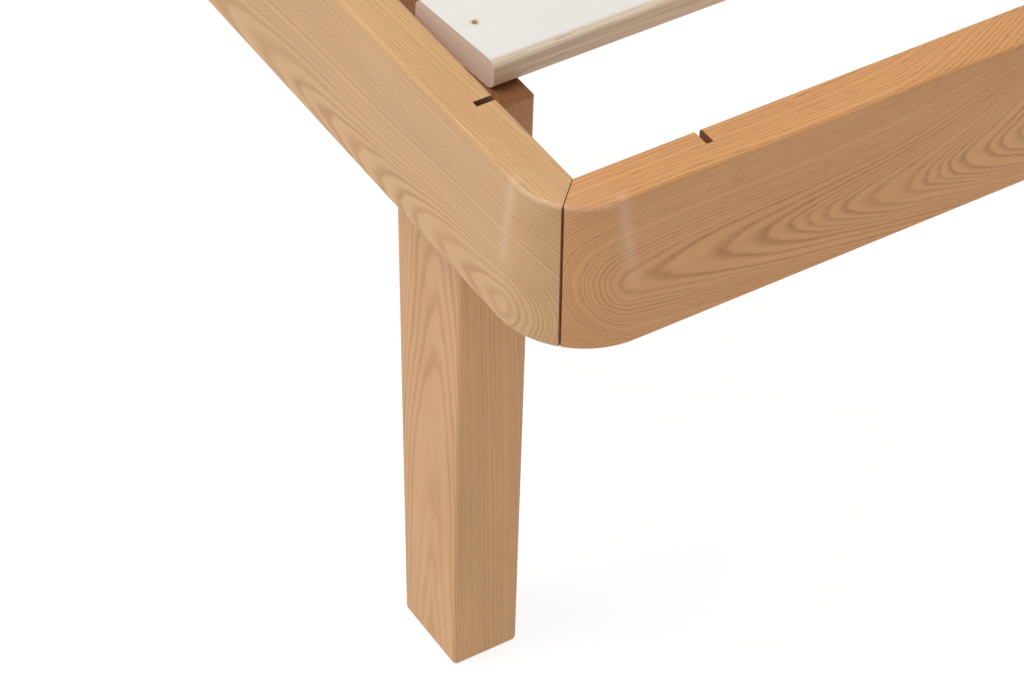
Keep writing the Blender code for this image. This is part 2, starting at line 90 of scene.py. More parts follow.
class Slot(Enum):
    """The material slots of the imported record."""

    ASH = "oiled_ash"
    PLY = "painted_ply"
    PINE = "plain_pine"
    ZINC = "zinc_steel"
    BLACK = "black_steel"
    PLASTIC = "black_plastic"


class Graph:
    """A node tree with short calls, each of which adds one node."""

    def __init__(self, tree: bpy.types.NodeTree) -> None:
        """Keep the tree that the calls add to."""
        self.tree = tree

    def feed(self, socket: Socket, value: Value) -> None:
        """Link a socket to another one, or set its own value.

        Args:
            socket: The socket to feed.
            value: Another socket, or a plain value.
        """
        if isinstance(value, bpy.types.NodeSocket):
            self.tree.links.new(value, socket)
        else:
            socket.default_value = value

    def node(
        self, kind: str, values: dict[str | int, Value] | None = None, **settings: object
    ) -> bpy.types.Node:
        """Add a node.

        Args:
            kind: The node's type.
            values: What each named or numbered input takes.
            settings: The node's own properties.

        Returns:
            The new node.
        """
        made = self.tree.nodes.new(kind)
        for name, setting in settings.items():
            setattr(made, name, setting)
        for key, value in (values or {}).items():
            self.feed(made.inputs[key], value)
        return made

    def math(self, operation: str, *values: Value, clamp: bool = False) -> Socket:
        """Add a Math node and return its value."""
        made = self.node("ShaderNodeMath", dict(enumerate(values)), operation=operation, use_clamp=clamp)
        return made.outputs[0]

    def total(self, *values: Value) -> Socket:
        """Add up any number of values.

        Args:
            values: The values or sockets.

        Returns:
            Their sum.
        """
        total = values[0]
        for value in values[1:]:
            total = self.math("ADD", total, value)
        return total

    def split(self, vector: Socket) -> tuple[Socket, Socket, Socket]:
        """Take a vector apart into its three values."""
        return tuple(self.node("ShaderNodeSeparateXYZ", {0: vector}).outputs)

    def join(self, x: Value, y: Value, z: Value) -> Socket:
        """Make a vector of three values."""
        return self.node("ShaderNodeCombineXYZ", {0: x, 1: y, 2: z}).outputs[0]

    def scaled(self, vector: Socket, by: Value) -> Socket:
        """Multiply a vector by one number."""
        return self.node("ShaderNodeVectorMath", {0: vector, "Scale": by}, operation="SCALE").outputs[0]

    def noise(self, vector: Socket, scale: float = 1.0, detail: float = 2.0) -> Socket:
        """Add solid noise over a vector, from 0 to 1."""
        values = {"Vector": vector, "Scale": scale, "Detail": detail}
        return self.node("ShaderNodeTexNoise", values, noise_dimensions="3D").outputs[0]

    def drift(self, value: Socket, reach: Value) -> Socket:
        """Add slow noise over one value.

        Args:
            value: What the noise runs along.
            reach: How far it strays to either side of zero.

        Returns:
            The noise, from minus to plus the reach.
        """
        values = {"W": value, "Scale": 1.0, "Detail": 1.0}
        noise = self.node("ShaderNodeTexNoise", values, noise_dimensions="1D").outputs[0]
        return self.math("MULTIPLY", self.math("MULTIPLY_ADD", noise, 2.0, -1.0), reach)

    def ramp(self, value: Socket, low: float, high: float, start: float = 0.0, end: float = 1.0) -> Socket:
        """Map a value smoothly from one range onto another, and hold it at the ends."""
        values = {0: value, 1: low, 2: high, 3: start, 4: end}
        return self.node("ShaderNodeMapRange", values, interpolation_type="SMOOTHSTEP").outputs[0]

    def mix(self, share: Value, first: Value, second: Value) -> Socket:
        """Blend two colours.

        Args:
            share: How much of the second colour is in the blend.
            first: The first colour.
            second: The second colour.

        Returns:
            The blend.
        """
        colours = [(*c, 1.0) if isinstance(c, tuple) else c for c in (first, second)]
        values = {0: share, 6: colours[0], 7: colours[1]}
        return self.node("ShaderNodeMix", values, data_type="RGBA").outputs[2]

    def attribute(self, name: str) -> bpy.types.Node:
        """Read one of the mesh's own attributes."""
        return self.node("ShaderNodeAttribute", attribute_name=name)

    def use(self, tree: bpy.types.NodeTree, values: dict[str, Value]) -> bpy.types.Node:
        """Place a shader node group in this tree.

        Args:
            tree: The group's tree.
            values: What each named input takes.

        Returns:
            The group's node.
        """
        made = self.tree.nodes.new("ShaderNodeGroup")
        made.node_tree = tree
        for name, value in values.items():
            self.feed(made.inputs[name], value)
        return made


def new_group(
    name: str, kind: str, inputs: dict[str, str], outputs: dict[str, str]
) -> tuple[Graph, Sockets, Sockets]:
    """Start a node group.

    Args:
        name: The group's name.
        kind: The type of its tree.
        inputs: Socket types by input name.
        outputs: Socket types by output name.

    Returns:
        The group's graph, its input sockets by name and its output sockets by name.
    """
    tree = bpy.data.node_groups.new(name, kind)
    for direction, sockets in (("INPUT", inputs), ("OUTPUT", outputs)):
        for label, socket_type in sockets.items():
            tree.interface.new_socket(name=label, in_out=direction, socket_type=socket_type)
    entry = tree.nodes.new("NodeGroupInput").outputs
    leave = tree.nodes.new("NodeGroupOutput").inputs
    return Graph(tree), entry, leave


class GrowthRings:
    """A shader group that cuts a piece out of a log: rings, pores, fibres and slow changes of tone."""

    NUMBERS = (
        "Pith Distance mm",
        "Pith Level mm",
        "Distance Slope",
        "Least Distance mm",
        "Level Slope",
        "Distance Drift mm",
        "Level Drift mm",
        "Ring Width mm",
        "Waviness mm",
        "Knot Swirl mm",
        "Knot Along mm",
        "Knot Level mm",
        "Seed",
    )
    SEED_STEP = 7.31
    KNOT_LENGTH = 100.0
    KNOT_HEIGHT = 45.0

    def __init__(self) -> None:
        """Build the group once, for every timber finish."""
        inputs = {"Grain": "NodeSocketVector"} | {name: "NodeSocketFloat" for name in self.NUMBERS}
        outputs = {name: "NodeSocketFloat" for name in ("Early Wood", "Pores", "Fibre", "Tone")}
        g, entry, leave = new_group("growth rings", "ShaderNodeTree", inputs, outputs)
        along, deep, up = g.split(g.scaled(entry["Grain"], MM))
        seed = g.math("MULTIPLY", entry["Seed"], self.SEED_STEP)
        place = (along, deep, up, seed)
        reach = self.from_pith(g, entry, place)
        early, strength = self.band(g, entry, reach, seed)
        pores = g.ramp(g.noise(self.stretched(g, place, 0.11, 1.7), 1.0, 2.0), 0.52, 0.66)
        g.feed(leave["Early Wood"], g.math("MULTIPLY", early, strength))
        g.feed(leave["Pores"], g.math("MULTIPLY", pores, early))
        g.feed(leave["Fibre"], g.noise(self.stretched(g, place, 0.03, 2.1), 1.0, 3.0))
        g.feed(leave["Tone"], g.noise(self.stretched(g, place, 0.006, 0.05), 1.0, 2.0))
        self.tree = g.tree

    @staticmethod
    def stretched(g: Graph, place: Sequence[Socket], lengthwise: float, crosswise: float) -> Socket:
        """Scale a place in the board, for noise that is drawn out along the grain.

        Args:
            g: The group's graph.
            place: Along, deep and up in mm, and the seed's offset.
            lengthwise: The noise's scale along the grain, per mm.
            crosswise: Its scale across the grain, per mm.

        Returns:
            The vector for the noise.
        """
        along, deep, up, seed = place
        sides = (g.math("MULTIPLY", side, crosswise) for side in (deep, up))
        return g.join(g.math("MULTIPLY_ADD", along, lengthwise, seed), *sides)

    @classmethod
    def from_pith(cls, g: Graph, entry: Sockets, place: Sequence[Socket]) -> Socket:
        """Distance from the log's pith, in mm.

        Args:
            g: The group's graph.
            entry: Its inputs.
            place: Along, deep and up in mm, and the seed's offset.

        Returns:
            The distance, with its drifts, waviness and swirl.
        """
        along, deep, up, seed = place
        slow = g.math("MULTIPLY_ADD", along, 0.0042, seed)
        other = g.math("MULTIPLY_ADD", along, 0.0063, g.math("ADD", seed, 40.0))
        distance = g.math("MULTIPLY_ADD", along, entry["Distance Slope"], entry["Pith Distance mm"])
        distance = g.math("SMOOTH_MAX", distance, entry["Least Distance mm"], 20.0)
        distance = g.total(distance, deep, g.drift(slow, entry["Distance Drift mm"]))
        fall = g.math("SMOOTH_MAX", g.math("MULTIPLY", along, entry["Level Slope"]), -24.0, 12.0)
        level = g.total(entry["Pith Level mm"], fall, g.drift(other, entry["Level Drift mm"]))
        over = g.math("SUBTRACT", up, level)
        reach = g.math("SQRT", g.math("MULTIPLY_ADD", distance, distance, g.math("MULTIPLY", over, over)))
        wavy = g.noise(cls.stretched(g, place, 0.012, 0.07), 1.0, 2.0)
        wave = g.math("MULTIPLY", g.math("MULTIPLY_ADD", wavy, 2.0, -1.0), entry["Waviness mm"])
        off_along = g.math("DIVIDE", g.math("SUBTRACT", along, entry["Knot Along mm"]), cls.KNOT_LENGTH)
        off_up = g.math("DIVIDE", g.math("SUBTRACT", up, entry["Knot Level mm"]), cls.KNOT_HEIGHT)
        off = g.math("MULTIPLY_ADD", off_along, off_along, g.math("MULTIPLY", off_up, off_up))
        swirl = g.math("MULTIPLY", g.math("EXPONENT", g.math("MULTIPLY", off, -1.0)), entry["Knot Swirl mm"])
        return g.total(reach, wave, swirl)

    @staticmethod
    def band(g: Graph, entry: Sockets, reach: Socket, seed: Socket) -> tuple[Socket, Socket]:
        """Shade one growth ring after another.

        Args:
            g: The group's graph.
            entry: Its inputs.
            reach: Distance from the pith, in mm.
            seed: An offset for the noise.

        Returns:
            The dark band of each ring, and how strong that ring is.
        """
        uneven = g.drift(g.math("MULTIPLY_ADD", reach, 0.16, seed), 1.5)
        count = g.math("ADD", g.math("DIVIDE", reach, entry["Ring Width mm"]), uneven)
        turn = g.math("FRACT", count)
        rise = g.ramp(turn, 0.0, 0.22)
        fall = g.ramp(turn, 0.22, 0.72, 1.0, 0.0)
        year = g.math("ADD", g.math("FLOOR", count), seed)
        spread = g.node("ShaderNodeTexWhiteNoise", {"W": year}, noise_dimensions="1D").outputs[0]
        return g.math("MULTIPLY", rise, fall), g.math("MULTIPLY_ADD", spread, 0.6, 0.45)


class Handling:
    """A shader group for what use leaves behind: faint smudges and a fine dust of scratches."""

    def __init__(self) -> None:
        """Build the group once, for every finish."""
        inputs = {"Position": "NodeSocketVector", "Smudge Size": "NodeSocketFloat"}
        outputs = {"Smudge": "NodeSocketFloat", "Scratches": "NodeSocketFloat"}
        g, entry, leave = new_group("handling", "ShaderNodeTree", inputs, outputs)
        x, y, z = g.split(entry["Position"])
        size = g.math("DIVIDE", 1.0, entry["Smudge Size"])
        wide = g.scaled(entry["Position"], size)
        g.feed(leave["Smudge"], g.ramp(g.noise(wide, 1.0, 3.0), 0.40, 0.70))
        scales = ((x, 90.0), (y, 900.0), (z, 500.0))
        lines = g.join(*(g.math("MULTIPLY", side, scale) for side, scale in scales))
        g.feed(leave["Scratches"], g.ramp(g.noise(lines, 1.0, 2.0), 0.62, 0.74))
        self.tree = g.tree


@dataclass(frozen=True)
class Log:
    """Where a board was cut out of its log, and how far apart the rings are. Lengths are in mm."""

    distance: float
    level: float
    distance_slope: float = 0.0
    least: float = 0.0
    level_slope: float = 0.0
    distance_drift: float = 2.0
    level_drift: float = 2.0
    ring: float = 1.3
    wave: float = 1.0
    swirl: float = 0.0
    swirl_along: float = 0.0
    swirl_level: float = 0.0
    seed: float = 1.0

    def values(self) -> dict[str, float]:
        """The settings by the names of the growth-ring group's inputs."""
        return dict(zip(GrowthRings.NUMBERS, (getattr(self, field.name) for field in fields(self))))


@dataclass(frozen=True)
class Timber:
    """A solid wood finish with its log, its colours and how strongly each part of the figure shows."""

    name: str
    log: Log
    light: Colour = (0.690, 0.385, 0.160)
    dark: Colour = (0.420, 0.185, 0.062)
    pore: Colour = (0.270, 0.115, 0.042)
    # Pale colour for the painted highlight, partly sanding marks in the finish, at the rails' rounded
    # corners.
    highlight_and_rub: Colour = (0.800, 0.620, 0.480)
    end_light: Colour = (0.215, 0.074, 0.018)
    end_dark: Colour = (0.100, 0.034, 0.012)
    early: float = 0.62
    pores: float = 0.45
    fibre: float = 0.55
    tone: float = 0.50
    roughness: float = 0.40
    bump: float = 0.35
    along: Axis = Axis.UP
    length: float = 0.0
    # Where the band of painted highlight and sanding marks sits, how it leans and how wide it is, in mm.
    rub_from_end: float = 53.0
    highlight_rub_lean: float = 0.1327
    highlight_rub_width: float = 3.8
    arris_level: float = 96.6

    def build(self, groups: "Groups") -> bpy.types.Material:
        """Make the material.

        Args:
            groups: The shared shader groups.

        Returns:
            The finished material.
        """
        material, g, shader = new_material(self.name)
        grain = g.attribute("grain").outputs["Vector"]
        rings = g.use(groups.rings.tree, {"Grain": grain} | self.log.values()).outputs
        wear = g.use(groups.handling.tree, {"Position": grain, "Smudge Size": 0.06}).outputs
        share = g.math("MULTIPLY", rings["Early Wood"], self.early)
        share = g.math("MULTIPLY_ADD", g.math("SUBTRACT", rings["Fibre"], 0.5), self.fibre, share)
        share = g.math("MULTIPLY_ADD", g.math("SUBTRACT", rings["Tone"], 0.5), self.tone, share)
        share = g.math("ADD", share, 0.08, clamp=True)
        colour = g.mix(share, self.light, self.dark)
        colour = g.mix(g.math("MULTIPLY", rings["Pores"], self.pores), colour, self.pore)
        if self.length:
            # Painted highlight, partly sanding marks in the finish: pale bands where the corner's curve
            # starts and along its top arris.
            highlight_and_rub_mask = g.math("MULTIPLY", self.corner_rub(g, grain), g.ramp(rings["Fibre"], 0.25, 0.65))
            colour = g.mix(g.math("MULTIPLY", highlight_and_rub_mask, 0.36), colour, self.highlight_and_rub)
        turned = g.split(g.node("ShaderNodeNewGeometry").outputs["Normal"])[self.along.value]
        end_grain = g.ramp(g.math("ABSOLUTE", turned), 0.86, 0.96)
        dots = g.ramp(g.noise(g.scaled(grain, 620.0), 1.0, 2.0), 0.42, 0.66)
        cut = g.mix(g.math("MULTIPLY", dots, 0.7), self.end_light, self.end_dark)
        colour = g.mix(g.math("MULTIPLY", end_grain, 0.9), colour, cut)
        g.feed(shader["Base Color"], colour)
        rough = g.math("MULTIPLY_ADD", rings["Early Wood"], 0.10, self.roughness)
        rough = g.math("MULTIPLY_ADD", wear["Smudge"], 0.06, rough)
        g.feed(shader["Roughness"], rough)
        height = g.math("MULTIPLY_ADD", rings["Pores"], -1.0, g.math("MULTIPLY", rings["Early Wood"], -0.35))
        height = g.math("MULTIPLY_ADD", rings["Fibre"], 0.25, height)
        bump = g.node("ShaderNodeBump", {"Strength": self.bump, "Distance": 0.0003, "Height": height})
        g.feed(shader["Normal"], bump.outputs[0])
        return material

    def corner_rub(self, g: Graph, grain: Socket) -> Socket:
        """Mask the bands of painted highlight, partly sanding marks in the finish, where a rail's rounded
        corner starts and along its top arris.

        Args:
            g: The material's graph.
            grain: Where each point lies in its board.

        Returns:
            The mask.
        """
        along, deep, up = g.split(g.scaled(grain, MM))
        along = g.math("FLOORED_MODULO", along, BOARD_SPACING * MM)
        away = g.math("MINIMUM", along, g.math("SUBTRACT", self.length * MM, along))
        from_start = g.math("ADD", g.math("MULTIPLY_ADD", up, self.highlight_rub_lean, away), -self.rub_from_end)
        spread = g.math("DIVIDE", from_start, self.highlight_rub_width)
        band = g.math("EXPONENT", g.math("MULTIPLY", g.math("MULTIPLY", spread, spread), -1.0))
        band = g.math("MULTIPLY", band, g.ramp(up, 20.0, 70.0))
        band = g.math("MULTIPLY", band, g.ramp(deep, 3.0, 8.0, 1.0, 0.0))
        over = g.math("SUBTRACT", up, self.arris_level)
        arris = g.math("EXPONENT", g.math("MULTIPLY", g.math("MULTIPLY", over, over), -1.0))
        arris = g.math("MULTIPLY", arris, g.ramp(away, 34.0, 46.0, 1.0, 0.0))
        arris = g.math("MULTIPLY", arris, g.ramp(deep, 18.0, 26.0, 1.3, 0.0))
        return g.math("MAXIMUM", band, arris, clamp=True)


@dataclass(frozen=True)
class PaintedPly:
    """White paint on plywood, with the layers bare along the edges and brown end grain."""

    name: str
    hole_at: float
    paint: Colour = (0.815, 0.790, 0.752)
    cream: Colour = (0.920, 0.805, 0.640)
    tan: Colour = (0.770, 0.600, 0.430)
    end: Colour = (0.880, 0.690, 0.550)
    end_pale: Colour = (0.950, 0.820, 0.700)
    gap: Colour = (0.42, 0.29, 0.18)
    handled: Colour = (0.70, 0.64, 0.56)
    bare: Colour = (0.74, 0.57, 0.36)

    def build(self, groups: "Groups") -> bpy.types.Material:
        """Make the material.

        Args:
            groups: The shared shader groups.

        Returns:
            The finished material.
        """
        material, g, shader = new_material(self.name)
        grain = g.attribute("grain").outputs["Vector"]
        piece = g.math("MULTIPLY", g.attribute("piece").outputs["Fac"], 50.0)
        x, y, z = g.split(grain)
        facing = g.split(g.node("ShaderNodeNewGeometry").outputs["Normal"])
        flat = g.ramp(g.math("ABSOLUTE", facing[2]), 0.86, 0.97)
        cut = g.ramp(g.math("ABSOLUTE", facing[0]), 0.55, 0.75)
        wear = g.use(groups.handling.tree, {"Position": grain, "Smudge Size": 0.035}).outputs
        layers = g.join(g.math("MULTIPLY_ADD", x, 9.0, piece), piece, g.math("MULTIPLY", z, 820.0))
        ply = g.ramp(g.noise(layers, 1.0, 3.0), 0.34, 0.62)
        dashes = g.join(g.math("MULTIPLY_ADD", x, 45.0, piece), piece, g.math("MULTIPLY", z, 1500.0))
        dash = g.ramp(g.noise(dashes, 1.0, 1.0), 0.62, 0.76)
        edge = g.mix(ply, self.cream, self.tan)
        edge = g.mix(g.math("MULTIPLY", dash, 0.5), edge, self.gap)
        scales = ((x, 1500.0), (y, 520.0), (z, 1200.0))
        brown = g.join(*(g.math("MULTIPLY", side, scale) for side, scale in scales))
        raw_end = g.mix(g.noise(brown, 1.0, 3.0), self.end, self.end_pale)
        soft = g.join(g.math("MULTIPLY_ADD", x, 14.0, piece), g.math("MULTIPLY", y, 90.0), piece)
        tint = g.math("MULTIPLY", g.ramp(g.noise(soft, 1.0, 3.0), 0.35, 0.75), 0.16)
        paint = g.mix(tint, self.paint, self.handled)
        chip = self.bare_rim(g, x, y, piece)
        paint = g.mix(g.math("MULTIPLY", chip, 0.85), paint, self.bare)
        colour = g.mix(flat, g.mix(cut, edge, raw_end), paint)
        g.feed(shader["Base Color"], colour)
        g.feed(shader["Roughness"], g.math("MULTIPLY_ADD", wear["Smudge"], 0.10, 0.52))
        reliefs = ((ply, 0.5), (chip, -1.0), (dash, -0.6))
        height = g.total(*(g.math("MULTIPLY", mask, lift) for mask, lift in reliefs))
        bump = g.node("ShaderNodeBump", {"Strength": 0.4, "Distance": 0.0003, "Height": height})
        g.feed(shader["Normal"], bump.outputs[0])
        return material

    def bare_rim(self, g: Graph, x: Socket, y: Socket, piece: Socket) -> Socket:
        """Mask the bare wood where the paint has chipped round a screw hole.

        Args:
            g: The material's graph.
            x: Place along the slat.
            y: Place across it.
            piece: A number of the slat's own.

        Returns:
            The mask.
        """
        out = g.math("SUBTRACT", g.math("ABSOLUTE", x), self.hole_at)
        off = g.math("SQRT", g.math("MULTIPLY_ADD", out, out, g.math("MULTIPLY", y, y)))
        spot = g.join(g.math("MULTIPLY_ADD", x, 260.0, piece), g.math("MULTIPLY", y, 420.0), 0.0)
        rough = g.noise(spot, 1.0, 2.0)
        return g.ramp(g.math("MULTIPLY_ADD", rough, -0.0046, off), -0.0002, 0.0012, 1.0, 0.0)


@dataclass(frozen=True)
class Hardware:
    """A metal or plastic finish with fine scratches and handling marks."""

    name: str
    colour: Colour
    marked: Colour
    roughness: float
    metallic: float

    def build(self, groups: "Groups") -> bpy.types.Material:
        """Make the material.

        Args:
            groups: The shared shader groups.

        Returns:
            The finished material.
        """
        material, g, shader = new_material(self.name)
        position = g.node("ShaderNodeTexCoord").outputs["Object"]
        wear = g.use(groups.handling.tree, {"Position": position, "Smudge Size": 0.012}).outputs
        marks = g.math("MULTIPLY_ADD", wear["Scratches"], 0.5, g.math("MULTIPLY", wear["Smudge"], 0.5))
        g.feed(shader["Base Color"], g.mix(marks, self.colour, self.marked))
        g.feed(shader["Roughness"], g.math("MULTIPLY_ADD", wear["Smudge"], 0.16, self.roughness))
        shader["Metallic"].default_value = self.metallic
        bump = g.node("ShaderNodeBump", {"Strength": 0.2, "Distance": 0.0001, "Height": wear["Scratches"]})
        g.feed(shader["Normal"], bump.outputs[0])
        return material


def new_material(name: str) -> tuple[bpy.types.Material, Graph, Sockets]:
    """Start a material.

    Args:
        name: Its name.

    Returns:
        The material, its graph and its shader's input sockets.
    """
    material = bpy.data.materials.new(name)
    material.use_nodes = True
    return material, Graph(material.node_tree), material.node_tree.nodes["Principled BSDF"].inputs


class Groups:
    """The shader groups that the finishes share."""

    def __init__(self) -> None:
        """Build each group once."""
        self.rings = GrowthRings()
        self.handling = Handling()


class Shop:
    """Turns mesh work into finished pieces of the bed."""

    @staticmethod
    def raw(name: str, work: bmesh.types.BMesh) -> bpy.types.Object:
        """Put a mesh into the scene with its faces pointing outwards.

        Args:
            name: The object's name.
            work: The mesh, which is freed.

        Returns:
            The new object.
        """
        bmesh.ops.recalc_face_normals(work, faces=work.faces)
        mesh = bpy.data.meshes.new(name)
        work.to_mesh(mesh)
        work.free()
        thing = bpy.data.objects.new(name, mesh)
        bpy.context.scene.collection.objects.link(thing)
        return thing

    @staticmethod
    def settle(thing: bpy.types.Object) -> None:
        """Turn an object's modifiers into its own plain mesh.

        Args:
            thing: The object.
        """
        bpy.context.view_layer.update()
        made = bpy.data.meshes.new_from_object(thing.evaluated_get(bpy.context.evaluated_depsgraph_get()))
        thing.modifiers.clear()
        thing.data = made
        made.name = thing.name

    @classmethod
    def cut(cls, thing: bpy.types.Object, work: bmesh.types.BMesh) -> None:
        """Take solids away from an object.

        Args:
            thing: The object.
            work: The solids, which are freed.
        """
        cutter = cls.raw(thing.name + "_cut", work)
        away = thing.modifiers.new("cut", "BOOLEAN")
        away.operation = "DIFFERENCE"
        away.solver = "EXACT"
        away.object = cutter
        cls.settle(thing)
        bpy.data.objects.remove(cutter)

    @classmethod
    def smooth(cls, thing: bpy.types.Object, sharp_from: float = 35.0) -> None:
        """Shade an object's curves smoothly while its large faces stay flat.

        Args:
            thing: The object.
            sharp_from: The angle in degrees from which an edge stays sharp.
        """
        for face in thing.data.polygons:
            face.use_smooth = True
        thing.data.set_sharp_from_angle(angle=math.radians(sharp_from))
        weighted = thing.modifiers.new("flat faces", "WEIGHTED_NORMAL")
        weighted.keep_sharp = True
        weighted.weight = 100
        cls.settle(thing)

    @staticmethod
    def mark(thing: bpy.types.Object, grain: Place) -> None:
        """Store where each point lies in its board.

        Args:
            thing: The object.
            grain: Gives (along, deep, up) in the board for a point of the bed.
        """
        points = [vertex.co.copy() for vertex in thing.data.vertices]
        places = thing.data.attributes.new("grain", "FLOAT_VECTOR", "POINT")
        places.data.foreach_set("vector", [n for point in points for n in grain(point)])

    @staticmethod
    def finish(thing: bpy.types.Object, finish: bpy.types.Material, slot: Slot, nodes: Sequence[str]) -> None:
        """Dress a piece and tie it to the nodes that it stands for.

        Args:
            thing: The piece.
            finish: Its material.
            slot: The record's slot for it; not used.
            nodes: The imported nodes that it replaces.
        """
        thing.data.materials.clear()
        thing.data.materials.append(finish)
        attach(thing, BODY)
        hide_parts(*nodes)
        LOG.info("%s stands for %s", thing.name, ", ".join(nodes))


def loft(rings: Sequence[Sequence[Vector]]) -> bmesh.types.BMesh:
    """Skin a closed solid through rings of equally many points.

    Args:
        rings: The rings, from one end to the other.

    Returns:
        The solid.
    """
    work = bmesh.new()
    layers = [[work.verts.new(point) for point in ring] for ring in rings]
    for near, far in zip(layers, layers[1:]):
        for i, j in zip(range(len(near)), [*range(1, len(near)), 0]):
            work.faces.new((near[i], near[j], far[j], far[i]))
    work.faces.new(layers[0])
    work.faces.new(layers[-1])
    return work


def block(
    first: Sequence[float], second: Sequence[float], ease: float = 0.0, steps: int = 3
) -> bmesh.types.BMesh:
    """Make a block between two opposite corners.

    Args:
        first: One corner.
        second: The other.
        ease: How far its edges are rounded.
        steps: Facets in each rounded edge.

    Returns:
        The block.
    """
    (x0, x1), (y0, y1), (z0, z1) = (sorted(pair) for pair in zip(first, second))
    plan = ((x0, y0), (x1, y0), (x1, y1), (x0, y1))
    work = loft([[Vector((x, y, z)) for x, y in plan] for z in (z0, z1)])
    if ease:
        bmesh.ops.bevel(work, geom=work.edges[:], offset=ease, segments=steps, profile=0.5, affect="EDGES")
    return work


def rod(axis: Axis, start: Vector, length: float, radius: float, sides: int = 32) -> bmesh.types.BMesh:
    """Make a round bar.

    Args:
        axis: The way it runs.
        start: The middle of its first end.
        length: Its length.
        radius: Its radius.
        sides: Facets round it.

    Returns:
        The bar.
    """
    rings = []
    for distance in (0.0, length):
        ring = []
        for i in range(sides):
            angle = math.tau * i / sides
            spot = [radius * math.cos(angle), radius * math.sin(angle)]
            spot.insert(axis.value, distance)
            ring.append(start + Vector(spot))
        rings.append(ring)
    return loft(rings)


def add_to(work: bmesh.types.BMesh, other: bmesh.types.BMesh) -> bmesh.types.BMesh:
    """Put a second mesh into the first one.

    Args:
        work: The mesh that grows.
        other: The mesh that is added, which is freed.

    Returns:
        The first mesh.
    """
    spare = bpy.data.meshes.new("spare")
    other.to_mesh(spare)
    other.free()
    work.from_mesh(spare)
    bpy.data.meshes.remove(spare)
    return work


@dataclass
class Rail:
    """One mitred rail: flat outside, with half of a cone-shaped rounded corner at each end."""

    node: str
    axis: Axis
    side: int
    height: float = 0.098
    radius_top: float = 0.038
    radius_bottom: float = 0.051
    ease: float = 0.0025
    mitre_gap: float = 0.0004
    mitre_chamfer: float = 0.0005
    kerf_inward: float = 0.1007
    kerf_width: float = 0.0042
    kerf_depth: float = 0.0123
    arc_steps: int = 28
    ease_steps: int = 5
    offset: float = 0.0

    def __post_init__(self) -> None:
        """Read the rail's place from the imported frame."""
        low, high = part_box(self.node)
        across = 0 if self.axis is Axis.ALONG else 1
        along = 1 - across
        self.outer = max(abs(low[across]), abs(high[across]))
        self.thickness = high[across] - low[across]
        self.bottom, self.top = low[2], high[2]
        self.half = CAD_BOX[1][along]

    def radius(self, z: float) -> float:
        """The corner's radius at a height."""
        share = (z - self.bottom) / (self.top - self.bottom)
        return self.radius_bottom + (self.radius_top - self.radius_bottom) * share

    def point(self, along: float, inward: float, z: float) -> Vector:
        """A point of the bed from its place in the rail."""
        across = self.side * (self.outer - inward)
        return Vector((across, along, z) if self.axis is Axis.ALONG else (along, across, z))

    def place(self, point: Vector) -> tuple[float, float, float]:
        """Distance from the nearer end, distance inward and height of a point of the bed."""
        along, across = (point.y, point.x) if self.axis is Axis.ALONG else (point.x, point.y)
        return self.half - abs(along), self.outer - abs(across), point.z

    def end_path(self, z: float, inset: float) -> list[tuple[float, float]]:
        """Half a corner in plan, from the mitre to the flat.

        Args:
            z: Height.
            inset: How far the arris is drawn in there.

        Returns:
            Distances from the end and inward, in pairs.
        """
        centre = self.radius(z)
        radius = centre - inset
        mitre = math.radians(225) + math.asin(self.mitre_gap / (radius * math.sqrt(2)))
        tip = (centre + radius * math.cos(mitre), centre + radius * math.sin(mitre))
        step = self.mitre_chamfer / math.sqrt(2)
        path = [(tip[0] + step, tip[1] + step)]
        start = mitre + self.mitre_chamfer / radius
        for i in range(self.arc_steps + 1):
            angle = start + (math.radians(270) - start) * i / self.arc_steps
            path.append((centre + radius * math.cos(angle), centre + radius * math.sin(angle)))
        path += [(centre + spare, inset) for spare in (0.002, 0.005, 0.010, 0.020, 0.040)]
        return path

    def ring(self, z: float, inset: float) -> list[Vector]:
        """The rail's outline at one height.

        Args:
            z: Height.
            inset: How far the arris is drawn in there.

        Returns:
            The outline's points.
        """
        path = self.end_path(z, inset)
        deep = self.thickness - inset
        back = deep + self.mitre_gap
        spots = [(a - self.half, v) for a, v in path]
        spots += [(self.half - a, v) for a, v in reversed(path)]
        spots += [(self.half - back, deep), (back - self.half, deep)]
        return [self.point(u, v, z) for u, v in spots]

    def build(self) -> bpy.types.Object:
        """Make the rail's mesh with its kerfs.

        Returns:
            The rail.
        """
        levels = []
        for i in range(self.ease_steps + 1):
            turn = math.pi / 2 * i / self.ease_steps
            levels.append((self.ease * (1 - math.cos(turn)), self.ease * (1 - math.sin(turn))))
        rings = [self.ring(self.bottom + rise, inset) for rise, inset in levels]
        rings += [self.ring(self.top - rise, inset) for rise, inset in reversed(levels)]
        rail = Shop.raw(self.node + "_board", loft(rings))
        kerfs = bmesh.new()
        for end in (-1, 1):
            middle = end * (self.half - self.kerf_inward)
            depth = self.thickness - self.kerf_depth
            near = self.point(middle - self.kerf_width / 2, depth, self.bottom - CUT_PAST)
            far = self.point(middle + self.kerf_width / 2, self.thickness + CUT_PAST, self.top + CUT_PAST)
            add_to(kerfs, block(near, far))
        Shop.cut(rail, kerfs)
        Shop.smooth(rail)
        Shop.mark(rail, self.grain)
        return rail

    def grain(self, point: Vector) -> Vector:
        """Find where a point lies in the board.

        Args:
            point: A point of the bed.

        Returns:
            Its place along the board, below its outer face and above its lower edge.
        """
        along = point.y if self.axis is Axis.ALONG else point.x
        _, inward, z = self.place(point)
        return Vector((along + self.half + self.offset, inward, z - self.bottom))


